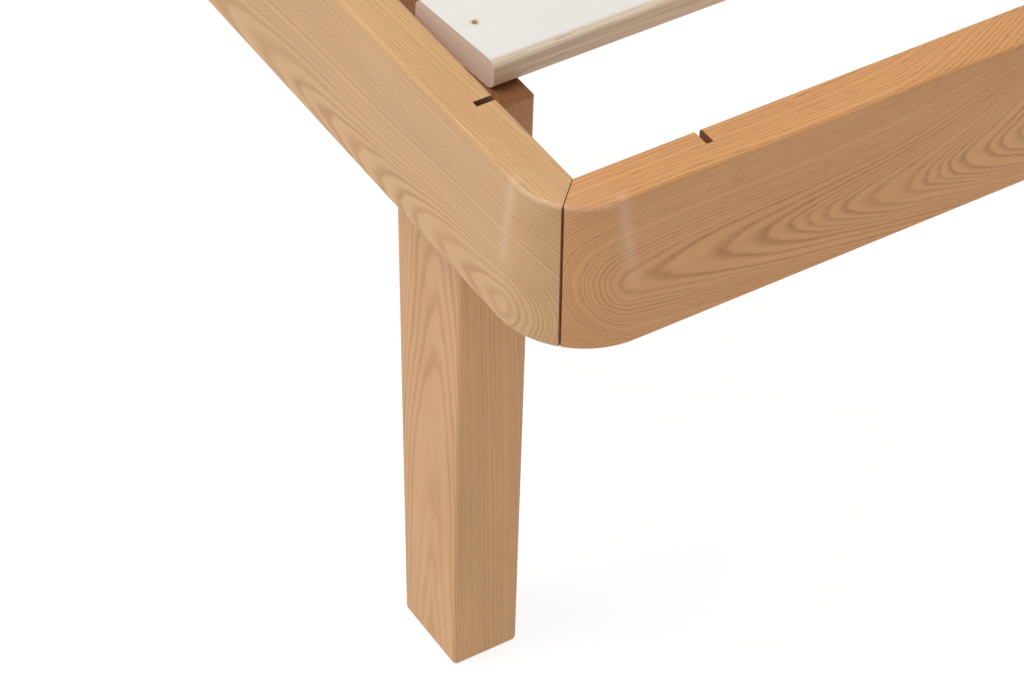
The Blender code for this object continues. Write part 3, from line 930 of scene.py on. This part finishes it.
@dataclass
class Leg:
    """A tapered leg with a notch that carries its side rail."""

    node: str
    sides: tuple[int, int]
    width_floor: float = 0.0423
    length_floor: float = 0.0556
    edge_radius: float = 0.003
    rail_gap: float = 0.0003
    rail_thickness: float = 0.028
    rail_bottom: float = 0.322
    offset: float = 0.0

    def build(self) -> bpy.types.Object:
        """Make the leg.

        Returns:
            The leg, with its grain running up it.
        """
        low, high = (Vector(corner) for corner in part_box(self.node))
        self.outer_x = max(abs(low.x), abs(high.x))
        self.outer_y = max(abs(low.y), abs(high.y))
        rings = []
        top = (high.x - low.x, high.y - low.y)
        for z, (width, length) in ((low.z, (self.width_floor, self.length_floor)), (high.z, top)):
            plan = ((0, 0), (width, 0), (width, length), (0, length))
            rings.append([self.corner(x, y, z) for x, y in plan])
        work = loft(rings)
        edges = [e for e in work.edges if min(v.co.z for v in e.verts) < high.z - 0.001]
        bmesh.ops.bevel(work, geom=edges, offset=self.edge_radius, segments=6, profile=0.5, affect="EDGES")
        leg = Shop.raw(self.node + "_post", work)
        half_width = abs(CAD_BOX[0][0])
        inner = self.outer_x - (half_width - self.rail_thickness - self.rail_gap)
        near = self.corner(-CUT_PAST, -CUT_PAST, self.rail_bottom - self.rail_gap)
        far = self.corner(inner, top[1] + CUT_PAST, high.z + CUT_PAST)
        Shop.cut(leg, block(near, far))
        Shop.smooth(leg)
        Shop.mark(leg, self.grain)
        return leg

    def corner(self, inward_x: float, inward_y: float, z: float) -> Vector:
        """A point given by its distances inward from the leg's two outer faces."""
        out = (self.outer_x - inward_x, self.outer_y - inward_y)
        return Vector((self.sides[0] * out[0], self.sides[1] * out[1], z))

    def grain(self, point: Vector) -> Vector:
        """Where a point lies in the board."""
        return Vector((point.z + self.offset, self.outer_x - abs(point.x), self.outer_y - abs(point.y)))


@dataclass
class SlatDeck:
    """The row of plywood slats, each a parallelogram in plan with rounded long edges."""

    first_node: str = "slat_01"
    last_node: str = "slat_14"
    count: int = 14
    skew: float = math.radians(5.0)
    edge_radius: float = 0.006
    edge_steps: int = 8
    hole_inward: float = 0.0511
    hole_radius: float = 0.00175

    def __post_init__(self) -> None:
        """Read the slats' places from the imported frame."""
        self.low, self.high = (Vector(corner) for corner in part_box(self.first_node))
        last_low, last_high = (Vector(corner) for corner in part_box(self.last_node))
        self.first = (self.low + self.high) / 2
        self.pitch = ((last_low + last_high) / 2 - self.first) / (self.count - 1)
        self.half = (self.high - self.low) / 2
        self.hole_at = abs(CAD_BOX[0][0]) - self.hole_inward

    def build_slat(self) -> bpy.types.Object:
        """Make one slat, centred on the origin.

        Returns:
            The slat, with its two screw holes.
        """
        lean = math.tan(self.skew)
        reach = self.half.x - lean * self.half.y
        profile = []
        for quarter, (y, z) in enumerate(((1, 1), (-1, 1), (-1, -1), (1, -1))):
            for step in range(self.edge_steps + 1):
                angle = math.pi / 2 * (quarter + step / self.edge_steps)
                out = y * (self.half.y - self.edge_radius) + self.edge_radius * math.cos(angle)
                up = z * (self.half.z - self.edge_radius) + self.edge_radius * math.sin(angle)
                profile.append((out, up))
        rings = [[Vector((end * reach - lean * y, y, z)) for y, z in profile] for end in (-1, 1)]
        slat = Shop.raw("slat_deck", loft(rings))
        holes = bmesh.new()
        for end in (-1, 1):
            start = Vector((end * self.hole_at, 0.0, -self.half.z - 0.001))
            add_to(holes, rod(Axis.UP, start, 2 * self.half.z + 0.002, self.hole_radius, 24))
        Shop.cut(slat, holes)
        Shop.smooth(slat, 40.0)
        Shop.mark(slat, lambda point: point.copy())
        return slat

    def build(self, finish: bpy.types.Material) -> bpy.types.Object:
        """Lay the slats out in their row.

        Args:
            finish: The slats' material.

        Returns:
            All the slats as one plain mesh.
        """
        deck = self.build_slat()
        tree = self.row_tree()
        modifier = deck.modifiers.new("row", "NODES")
        modifier.node_group = tree
        values = {"Count": self.count, "First": self.first, "Pitch": self.pitch, "Seed": 4, "Finish": finish}
        set_inputs(modifier, tree, values)
        Shop.settle(deck)
        return deck

    @staticmethod
    def row_tree() -> bpy.types.NodeTree:
        """Make the tree that lays copies in an even row, each with a random number of its own.

        Returns:
            The tree.
        """
        inputs = {"Geometry": "NodeSocketGeometry", "Count": "NodeSocketInt", "First": "NodeSocketVector"}
        inputs |= {"Pitch": "NodeSocketVector", "Seed": "NodeSocketInt", "Finish": "NodeSocketMaterial"}
        outputs = {"Geometry": "NodeSocketGeometry"}
        g, entry, leave = new_group("even row", "GeometryNodeTree", inputs, outputs)
        places = {"Count": entry["Count"], "Start Location": entry["First"], "Offset": entry["Pitch"]}
        line = g.node("GeometryNodeMeshLine", places, mode="OFFSET")
        spread = {"Points": line.outputs[0], "Instance": entry["Geometry"]}
        copies = g.node("GeometryNodeInstanceOnPoints", spread)
        chance = g.node("FunctionNodeRandomValue", {"Seed": entry["Seed"]}, data_type="FLOAT")
        numbered = {"Geometry": copies.outputs[0], "Name": "piece", "Value": chance.outputs[1]}
        store = g.node("GeometryNodeStoreNamedAttribute", numbered, data_type="FLOAT", domain="INSTANCE")
        real = g.node("GeometryNodeRealizeInstances", {"Geometry": store.outputs[0]})
        dressed = {"Geometry": real.outputs[0], "Material": entry["Finish"]}
        g.feed(leave["Geometry"], g.node("GeometryNodeSetMaterial", dressed).outputs[0])
        return g.tree


def set_inputs(modifier: bpy.types.Modifier, tree: bpy.types.NodeTree, values: dict[str, object]) -> None:
    """Set a Geometry Nodes modifier's inputs by their sockets' identifiers.

    Args:
        modifier: The modifier.
        tree: Its tree.
        values: The settings by the inputs' names.
    """
    for item in tree.interface.items_tree:
        if item.item_type == "SOCKET" and item.in_out == "INPUT" and item.name in values:
            modifier[item.identifier] = values[item.name]


@dataclass(frozen=True)
class Fastener:
    """The sizes of one kind of fastener."""

    head_height: float
    head_radius: float
    shank_radius: float


BOLT = Fastener(0.005, 0.0065, 0.004)
SCREW = Fastener(0.0036, 0.0058, 0.003)


@dataclass
class FastenerSet:
    """Headed fasteners of one kind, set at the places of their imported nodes."""

    name: str
    nodes: Sequence[str]
    axis: Axis
    kind: Fastener
    sharp_from: float = 32.0

    def build(self, finish: bpy.types.Material) -> bpy.types.Object:
        """Make the whole set.

        Args:
            finish: The fasteners' material.

        Returns:
            The fasteners as one plain mesh.
        """
        mesh = bpy.data.meshes.new(self.name)
        places, turns, length = [], [], 0.0
        for node in self.nodes:
            low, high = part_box(node)
            place = [(a + b) / 2 for a, b in zip(low, high)]
            into = self.into(place)
            back = low[self.axis.value] if into > 0 else high[self.axis.value]
            place[self.axis.value] = back + into * self.kind.head_height
            length = high[self.axis.value] - low[self.axis.value] - self.kind.head_height
            places.append(place)
            turns.append(self.turn(into))
        mesh.from_pydata(places, [], [])
        facing = mesh.attributes.new("facing", "FLOAT_VECTOR", "POINT").data
        for i, turn in enumerate(turns):
            facing[i].vector = turn
        thing = bpy.data.objects.new(self.name, mesh)
        bpy.context.scene.collection.objects.link(thing)
        tree = self.tree()
        modifier = thing.modifiers.new("fasteners", "NODES")
        modifier.node_group = tree
        values = {"Head Radius": self.kind.head_radius, "Head Height": self.kind.head_height}
        values |= {"Shank Radius": self.kind.shank_radius, "Shank Length": length, "Finish": finish}
        set_inputs(modifier, tree, values)
        Shop.settle(thing)
        for face in thing.data.polygons:
            face.use_smooth = True
        thing.data.set_sharp_from_angle(angle=math.radians(self.sharp_from))
        return thing

    def into(self, place: Sequence[float]) -> int:
        """The way a fastener at a place is driven: outwards from the bed's middle, or down."""
        return -1 if self.axis is Axis.UP or place[self.axis.value] < 0 else 1

    def turn(self, into: int) -> Vector:
        """Find the turn that points a fastener's shank along its axis.

        Args:
            into: The sign of the way it is driven.

        Returns:
            Angles about X, Y and Z.
        """
        if self.axis is Axis.ACROSS:
            return Vector((0.0, into * math.pi / 2, 0.0))
        if self.axis is Axis.ALONG:
            return Vector((-into * math.pi / 2, 0.0, 0.0))
        return Vector((0.0 if into > 0 else math.pi, 0.0, 0.0))

    @staticmethod
    def tree() -> bpy.types.NodeTree:
        """Make the tree that sets a socket-headed fastener on every point.

        Returns:
            The tree.
        """
        numbers = ("Head Radius", "Head Height", "Shank Radius", "Shank Length")
        inputs = {"Geometry": "NodeSocketGeometry"} | {name: "NodeSocketFloat" for name in numbers}
        inputs |= {"Finish": "NodeSocketMaterial"}
        outputs = {"Geometry": "NodeSocketGeometry"}
        g, entry, leave = new_group("fasteners", "GeometryNodeTree", inputs, outputs)
        radius, height, shank, length = (entry[name] for name in numbers)
        rim = g.math("MULTIPLY", height, 0.7)
        cap = g.math("MULTIPLY", height, 0.3)
        disc = FastenerSet.bar(g, 32, radius, radius, rim, g.math("MULTIPLY", rim, -0.5))
        crown_at = g.math("MULTIPLY_ADD", rim, -1.0, g.math("MULTIPLY", cap, -0.5))
        crown = FastenerSet.bar(g, 32, g.math("MULTIPLY", radius, 0.82), radius, cap, crown_at)
        socket_radius = g.math("MULTIPLY", radius, 0.46)
        socket_at = g.math("MULTIPLY", height, -0.9)
        socket = FastenerSet.bar(g, 6, socket_radius, socket_radius, height, socket_at)
        whole = g.node("GeometryNodeMeshBoolean", operation="UNION")
        g.tree.links.new(crown, whole.inputs["Mesh 2"])
        g.tree.links.new(disc, whole.inputs["Mesh 2"])
        head = g.node("GeometryNodeMeshBoolean", {"Mesh 1": whole.outputs[0]}, operation="DIFFERENCE")
        g.tree.links.new(socket, head.inputs["Mesh 2"])
        stem = FastenerSet.bar(g, 24, shank, shank, length, g.math("MULTIPLY", length, 0.5))
        both = g.node("GeometryNodeJoinGeometry")
        g.tree.links.new(stem, both.inputs[0])
        g.tree.links.new(head.outputs[0], both.inputs[0])
        facing = g.node("GeometryNodeInputNamedAttribute", {"Name": "facing"}, data_type="FLOAT_VECTOR")
        turned = g.node("FunctionNodeEulerToRotation", {0: facing.outputs[0]})
        spread = {"Points": entry["Geometry"], "Instance": both.outputs[0], "Rotation": turned.outputs[0]}
        copies = g.node("GeometryNodeInstanceOnPoints", spread)
        real = g.node("GeometryNodeRealizeInstances", {"Geometry": copies.outputs[0]})
        dressed = {"Geometry": real.outputs[0], "Material": entry["Finish"]}
        g.feed(leave["Geometry"], g.node("GeometryNodeSetMaterial", dressed).outputs[0])
        return g.tree

    @staticmethod
    def bar(g: Graph, sides: int, bottom: Socket, top: Socket, depth: Socket, middle: Socket) -> Socket:
        """Add a cone or cylinder on the fastener's axis.

        Args:
            g: The tree's graph.
            sides: Facets round it.
            bottom: Its radius at the low end.
            top: Its radius at the high end.
            depth: Its height.
            middle: The height of its middle.

        Returns:
            Its geometry.
        """
        values = {"Vertices": sides, "Radius Top": top, "Radius Bottom": bottom, "Depth": depth}
        made = g.node("GeometryNodeMeshCone", values)
        low = g.math("MULTIPLY_ADD", depth, -0.5, middle)
        shift = {"Geometry": made.outputs[0], "Translation": g.join(0.0, 0.0, low)}
        return g.node("GeometryNodeTransform", shift).outputs[0]


@dataclass
class Batten:
    """A straight batten or post with eased edges, cut from one stick."""

    node: str
    axis: Axis
    ease: float = 0.0018

    def build(self, holes: Sequence[bmesh.types.BMesh] = ()) -> bpy.types.Object:
        """Make the batten.

        Args:
            holes: Solids to take away from it.

        Returns:
            The batten.
        """
        low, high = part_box(self.node)
        batten = Shop.raw(self.node + "_wood", block(low, high, self.ease, 4))
        if holes:
            cutter = bmesh.new()
            for hole in holes:
                add_to(cutter, hole)
            Shop.cut(batten, cutter)
        Shop.smooth(batten)
        corner = Vector(low)
        order = [self.axis.value] + [i for i in range(3) if i != self.axis.value]
        Shop.mark(batten, lambda point: Vector([(point - corner)[i] for i in order]))
        return batten


@dataclass
class CornerBracket:
    """A bent steel strip across a corner, hooked into a kerf of each rail."""

    node: str
    sides: tuple[int, int]
    rail: float = 0.028
    gap: float = 0.0003
    sheet: float = 0.003
    hook: float = 0.011
    kerf_inward: float = 0.1007
    wing: float = 0.034
    bend: float = 0.004
    bend_steps: int = 5

    def build(self) -> bpy.types.Object:
        """Make the bracket.

        Returns:
            The bracket, with rounded bends and eased edges.
        """
        low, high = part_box(self.node)
        face = self.rail + self.gap + self.sheet / 2
        half = [(self.rail - self.hook, self.kerf_inward), (face, self.kerf_inward)]
        half.append((face, self.kerf_inward - self.wing))
        path = self.rounded([Vector(p) for p in half + [(y, x) for x, y in reversed(half)]])
        outline = self.beside(path, self.sheet / 2) + self.beside(path, -self.sheet / 2)[::-1]
        work = loft([[self.corner(p.x, p.y, z) for p in outline] for z in (low[2], high[2])])
        rims = [e for e in work.edges if abs(e.verts[0].co.z - e.verts[1].co.z) < 1e-6]
        bmesh.ops.bevel(work, geom=rims, offset=0.0004, segments=2, profile=0.5, affect="EDGES")
        bracket = Shop.raw(self.node + "_strip", work)
        Shop.smooth(bracket, 50.0)
        return bracket

    def corner(self, inward_x: float, inward_y: float, z: float) -> Vector:
        """A point given by its distances inward from the corner's two outer faces."""
        half_x, half_y = CAD_BOX[1][0], CAD_BOX[1][1]
        return Vector((self.sides[0] * (half_x - inward_x), self.sides[1] * (half_y - inward_y), z))

    def rounded(self, path: Sequence[Vector]) -> list[Vector]:
        """Replace each bend of a path with a short arc.

        Args:
            path: The path's points in plan.

        Returns:
            The rounded path.
        """
        points = [path[0]]
        for before, bend, after in zip(path, path[1:], path[2:]):
            back = (before - bend).normalized()
            ahead = (after - bend).normalized()
            half_angle = back.angle(ahead) / 2
            reach = self.bend / math.tan(half_angle)
            centre = bend + (back + ahead).normalized() * (self.bend / math.sin(half_angle))
            start, stop = bend + back * reach - centre, bend + ahead * reach - centre
            for i in range(self.bend_steps + 1):
                spoke = start.slerp(stop, i / self.bend_steps)
                points.append(centre + spoke.normalized() * self.bend)
        return points + [path[-1]]

    @staticmethod
    def beside(path: Sequence[Vector], distance: float) -> list[Vector]:
        """Move a path sideways.

        Args:
            path: The path's points in plan.
            distance: How far it moves to its left.

        Returns:
            The moved path.
        """
        moved = []
        for i, point in enumerate(path):
            ahead = (path[min(i + 1, len(path) - 1)] - path[max(i - 1, 0)]).normalized()
            moved.append(point + Vector((-ahead.y, ahead.x)) * distance)
        return moved


@dataclass
class Leveller:
    """A turned plastic foot on a steel stem, which slides in the end of a centre leg."""

    body: str
    steps: int = 48

    def build(self) -> bpy.types.Object:
        """Turn the foot on a lathe.

        Returns:
            The foot.
        """
        low, high = (Vector(corner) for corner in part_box(self.body))
        middle = (low + high) / 2
        pad = (high.x - low.x) / 2
        tall = high.z - low.z
        profile = ((0.0, 0.0), (pad - 0.0016, 0.0), (pad - 0.0005, 0.0005), (pad, 0.0016), (pad, 0.0044))
        profile += ((pad - 0.0005, 0.0055), (pad - 0.0016, 0.006), (0.0040, 0.006))
        profile += ((0.0040, tall - 0.001), (0.0032, tall), (0.0, tall))
        work = bmesh.new()
        spots = [work.verts.new((middle.x + r, middle.y, low.z + z)) for r, z in profile]
        edges = [work.edges.new(pair) for pair in zip(spots, spots[1:])]
        centre, up = (middle.x, middle.y, 0), (0, 0, 1)
        bmesh.ops.spin(work, geom=spots + edges, cent=centre, axis=up, angle=math.tau, steps=self.steps)
        bmesh.ops.remove_doubles(work, verts=work.verts, dist=1e-6)
        foot = Shop.raw(self.body + "_foot", work)
        Shop.smooth(foot)
        return foot


class Bed:
    """The whole bed, sub-assembly by sub-assembly."""

    ENDS = {"foot": -1, "head": 1}
    SIDES = {"left": -1, "right": 1}
    SUNK_RADIUS = 0.0075
    SUNK_PAST = 0.015
    STEM_HOLE_RADIUS = 0.0044
    STEM_HOLE_SPARE = 0.0004

    def __init__(self) -> None:
        """Make the finishes that the pieces share."""
        self.groups = Groups()
        zinc = Hardware("zinc plated steel", (0.58, 0.59, 0.60), (0.40, 0.41, 0.43), 0.30, 1.0)
        black = Hardware("black steel", (0.045, 0.045, 0.048), (0.11, 0.11, 0.11), 0.38, 0.9)
        plastic = Hardware("black plastic", (0.022, 0.022, 0.024), (0.05, 0.05, 0.05), 0.50, 0.0)
        self.zinc, self.black, self.plastic = (kind.build(self.groups) for kind in (zinc, black, plastic))
        pine_log = Log(distance=18.0, level=-14.0, distance_drift=6.0, level_drift=4.0, ring=3.4, seed=9.0)
        light, dark, pore = (0.74, 0.56, 0.34), (0.58, 0.37, 0.18), (0.40, 0.24, 0.12)
        pine = Timber("plain pine", pine_log, light, dark, pore, pores=0.05)
        self.pine = pine.build(self.groups)
        batten_log = Log(distance=60.0, level=12.0, distance_drift=5.0, ring=1.5, seed=6.0)
        self.batten_ash = Timber("ash battens", batten_log).build(self.groups)

    def rails(self) -> None:
        """The four rails, each side pair from its own log, with colours that partly paint light: bluer on the
        side rails for sheen, warmer on the end rails for shade.
        """
        width, length = (2 * n for n in CAD_BOX[1][:2])
        side_log = Log(50.0, 12.0, 0.045, level_drift=2.0, distance_drift=2.0, wave=0.8, seed=2.0)
        end_log = Log(46.0, 47.0, -0.07, 20.0, -0.08, 1.0, 2.5, 1.4, 0.9, -34.0, 350.0, 80.0, 5.0)
        # Painted sheen on the side rails (paler, bluer colours) and painted shade on the end rails (warmer,
        # more saturated colours), beside each pair's own grain.
        side = Timber("ash side rails", side_log, early=0.48, pores=0.25, along=Axis.ALONG, length=length,
                      light=(0.690, 0.410, 0.190), dark=(0.420, 0.195, 0.070))
        end = Timber("ash end rails", end_log, early=0.50, pores=0.45, along=Axis.ACROSS, length=width,
                     light=(0.725, 0.358, 0.136), dark=(0.420, 0.166, 0.055))
        side, end = side.build(self.groups), end.build(self.groups)
        for i, (name, sign) in enumerate(self.SIDES.items()):
            node = "side_rail_" + name
            rail = Rail(node, Axis.ALONG, sign, offset=BOARD_SPACING * i)
            Shop.finish(rail.build(), side, Slot.ASH, [node])
        for i, (name, sign) in enumerate(self.ENDS.items()):
            node = name + "_rail"
            rail = Rail(node, Axis.ACROSS, sign, offset=BOARD_SPACING * i)
            Shop.finish(rail.build(), end, Slot.ASH, [node])

    def legs(self) -> None:
        """The four corner legs."""
        leg_log = Log(52.0, 26.0, 0.03, distance_drift=3.0, level_drift=3.0, ring=1.9, wave=1.2, seed=3.0)
        light, dark = (0.690, 0.378, 0.166), (0.450, 0.200, 0.070)
        finish = Timber("ash legs", leg_log, light, dark, early=0.38, pores=0.15, tone=0.8).build(self.groups)
        for i, (end, y) in enumerate(self.ENDS.items()):
            for j, (side, x) in enumerate(self.SIDES.items()):
                node = f"leg_{end}_{side}"
                leg = Leg(node, (x, y), offset=0.9 * (2 * i + j))
                Shop.finish(leg.build(), finish, Slot.ASH, [node])

    def slats(self) -> None:
        """The slat deck."""
        deck = SlatDeck()
        finish = PaintedPly("painted plywood", deck.hole_at).build(self.groups)
        names = [f"slat_{i + 1:02d}" for i in range(deck.count)]
        Shop.finish(deck.build(finish), finish, Slot.PLY, names)

    def ledgers(self) -> None:
        """The battens on the side rails."""
        for side in self.SIDES:
            node = "ledger_" + side
            Shop.finish(Batten(node, Axis.ALONG, 0.0012).build(), self.batten_ash, Slot.ASH, [node])

    def centre_support(self) -> None:
        """The centre beam with its sunk bolt holes, its posts, levelling feet and hangers."""
        holes = []
        for end in self.ENDS:
            low, high = (Vector(corner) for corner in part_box("centre_leg_bolt_" + end))
            middle = (low + high) / 2
            seat = Vector((middle.x, middle.y, high.z - BOLT.head_height))
            holes.append(rod(Axis.UP, seat, BOLT.head_height + self.SUNK_PAST, self.SUNK_RADIUS))
        beam = Batten("centre_beam", Axis.ALONG, 0.002).build(holes)
        Shop.finish(beam, self.pine, Slot.PINE, ["centre_beam"])
        for end in self.ENDS:
            node = "centre_leg_" + end
            low, high = (Vector(corner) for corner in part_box("leveller_" + end))
            middle = (low + high) / 2
            depth = high.z + self.STEM_HOLE_SPARE + CUT_PAST
            hole = rod(Axis.UP, Vector((middle.x, middle.y, -CUT_PAST)), depth, self.STEM_HOLE_RADIUS)
            post = Batten(node, Axis.UP, 0.003).build([hole])
            Shop.finish(post, self.pine, Slot.PINE, [node])
            self.leveller("leveller_" + end)
            self.repaint("beam_hanger_" + end, self.zinc, Slot.ZINC)

    def leveller(self, body: str) -> None:
        """Add one levelling foot, on its own body.

        Args:
            body: The name of its body, which is its node's name too.
        """
        foot = Leveller(body).build()
        foot.data.materials.append(self.plastic)
        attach(foot, body)
        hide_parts(body)
        LOG.info("%s stands for %s", foot.name, body)

    @staticmethod
    def repaint(node: str, finish: bpy.types.Material, slot: Slot) -> None:
        """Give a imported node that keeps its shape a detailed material.

        Args:
            node: The node.
            finish: Its material.
            slot: The record's slot for it.
        """
        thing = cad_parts[node]
        for place in thing.material_slots:
            place.material = finish
        LOG.info("%s keeps its shape, in %s", node, slot.value)

    def brackets(self) -> None:
        """The corner brackets."""
        for end, y in self.ENDS.items():
            for side, x in self.SIDES.items():
                node = f"corner_bracket_{end}_{side}"
                Shop.finish(CornerBracket(node, (x, y)).build(), self.zinc, Slot.ZINC, [node])

    def fasteners(self) -> None:
        """Every bolt and screw, one set for each kind and direction."""
        corners = [(end, side) for end in self.ENDS for side in self.SIDES]
        bolts = [f"leg_bolt_{end}_{side}_{place}" for end, side in corners for place in ("upper", "lower")]
        side_screws = [f"bracket_screw_{end}_{side}_side" for end, side in corners]
        end_screws = [f"bracket_screw_{end}_{side}_end" for end, side in corners]
        hanger_screws = [f"hanger_screw_{end}_{side}" for end, side in corners]
        post_bolts = [f"centre_leg_bolt_{end}" for end in self.ENDS]
        sets = (
            FastenerSet("leg_bolts", bolts, Axis.ACROSS, BOLT),
            FastenerSet("side_bracket_screws", side_screws, Axis.ACROSS, SCREW),
            FastenerSet("end_bracket_screws", end_screws, Axis.ALONG, SCREW),
            FastenerSet("hanger_screws", hanger_screws, Axis.ALONG, SCREW),
            FastenerSet("centre_leg_bolts", post_bolts, Axis.UP, BOLT),
        )
        for group in sets:
            finish, slot = (self.black, Slot.BLACK) if group.kind is BOLT else (self.zinc, Slot.ZINC)
            Shop.finish(group.build(finish), finish, slot, group.nodes)


@dataclass(frozen=True)
class Studio:
    """A pale floor, soft light from above and a long lens."""

    lens: float = 136.4
    turn: float = math.radians(33.0115)
    tip: float = math.radians(42.199)
    roll: float = math.radians(1.6245)
    stand: Point = (-1.5133, -2.2051, 1.6377)

    def floor(self) -> None:
        """Lay a plain floor that stays pale in the shade."""
        work = bmesh.new()
        bmesh.ops.create_grid(work, x_segments=1, y_segments=1, size=14.0)
        bmesh.ops.translate(work, verts=work.verts, vec=(0.0, 0.0, -0.0005))
        thing = Shop.raw("studio_floor", work)
        material, g, shader = new_material("studio floor")
        shader["Base Color"].default_value = (0.30, 0.30, 0.30, 1.0)
        shader["Roughness"].default_value = 1.0
        shader["Specular IOR Level"].default_value = 0.0
        seen = g.node("ShaderNodeLightPath").outputs["Is Camera Ray"]
        g.feed(shader["Emission Color"], g.mix(seen, (0.70, 0.70, 0.70), (1.0, 1.0, 1.0)))
        shader["Emission Strength"].default_value = 0.82
        thing.data.materials.append(material)

    @staticmethod
    def light(name: str, stand: Point, aim: Point, size: float, power: float, colour: Colour) -> None:
        """Hang a square soft light.

        Args:
            name: The light's name.
            stand: Where it hangs.
            aim: What it points at.
            size: Its width.
            power: Its power in watts.
            colour: Its colour.
        """
        data = bpy.data.lights.new(name, "AREA")
        data.size = size
        data.energy = power
        data.color = colour
        lamp = bpy.data.objects.new(name, data)
        bpy.context.scene.collection.objects.link(lamp)
        direction = Vector(aim) - Vector(stand)
        lamp.rotation_euler = direction.to_track_quat("-Z", "Y").to_euler()
        lamp.location = stand

    def camera(self) -> None:
        """Set up the camera over the foot-left corner."""
        level = Vector((math.sin(self.turn), math.cos(self.turn), 0.0)) * math.cos(self.tip)
        ahead = level - Vector((0.0, 0.0, math.sin(self.tip)))
        right = ahead.cross(Vector((0, 0, 1))).normalized()
        down = ahead.cross(right)
        c, s = math.cos(self.roll), math.sin(self.roll)
        right, down = right * c - down * s, right * s + down * c
        columns = Matrix((right, -down, -ahead)).transposed()
        data = bpy.data.cameras.new("camera")
        data.lens = self.lens
        data.sensor_width = 36.0
        data.clip_end = 60.0
        eye = bpy.data.objects.new("camera", data)
        bpy.context.scene.collection.objects.link(eye)
        eye.matrix_world = Matrix.Translation(self.stand) @ columns.to_4x4()
        bpy.context.scene.camera = eye

    def build(self) -> None:
        """Set up the whole studio."""
        self.floor()
        self.light("key", (-2.55, 0.20, 4.25), (-0.6, -0.9, 0.35), 2.6, 132.0, (1.0, 0.985, 0.96))
        world = bpy.data.worlds.new("studio")
        world.use_nodes = True
        world.node_tree.nodes["Background"].inputs["Color"].default_value = (1.0, 1.0, 1.0, 1.0)
        world.node_tree.nodes["Background"].inputs["Strength"].default_value = 0.50
        bpy.context.scene.world = world
        bpy.context.scene.view_settings.view_transform = "Standard"
        self.camera()


def main() -> None:
    """Build the bed and its studio."""
    logging.basicConfig(level=logging.INFO, format="%(message)s")
    bed = Bed()
    wood = (bed.rails, bed.legs, bed.slats, bed.ledgers, bed.centre_support)
    for build in (*wood, bed.brackets, bed.fasteners):
        build()
        LOG.info("%s done", build.__name__)
    Studio().build()


if __name__ == "__main__":
    main()
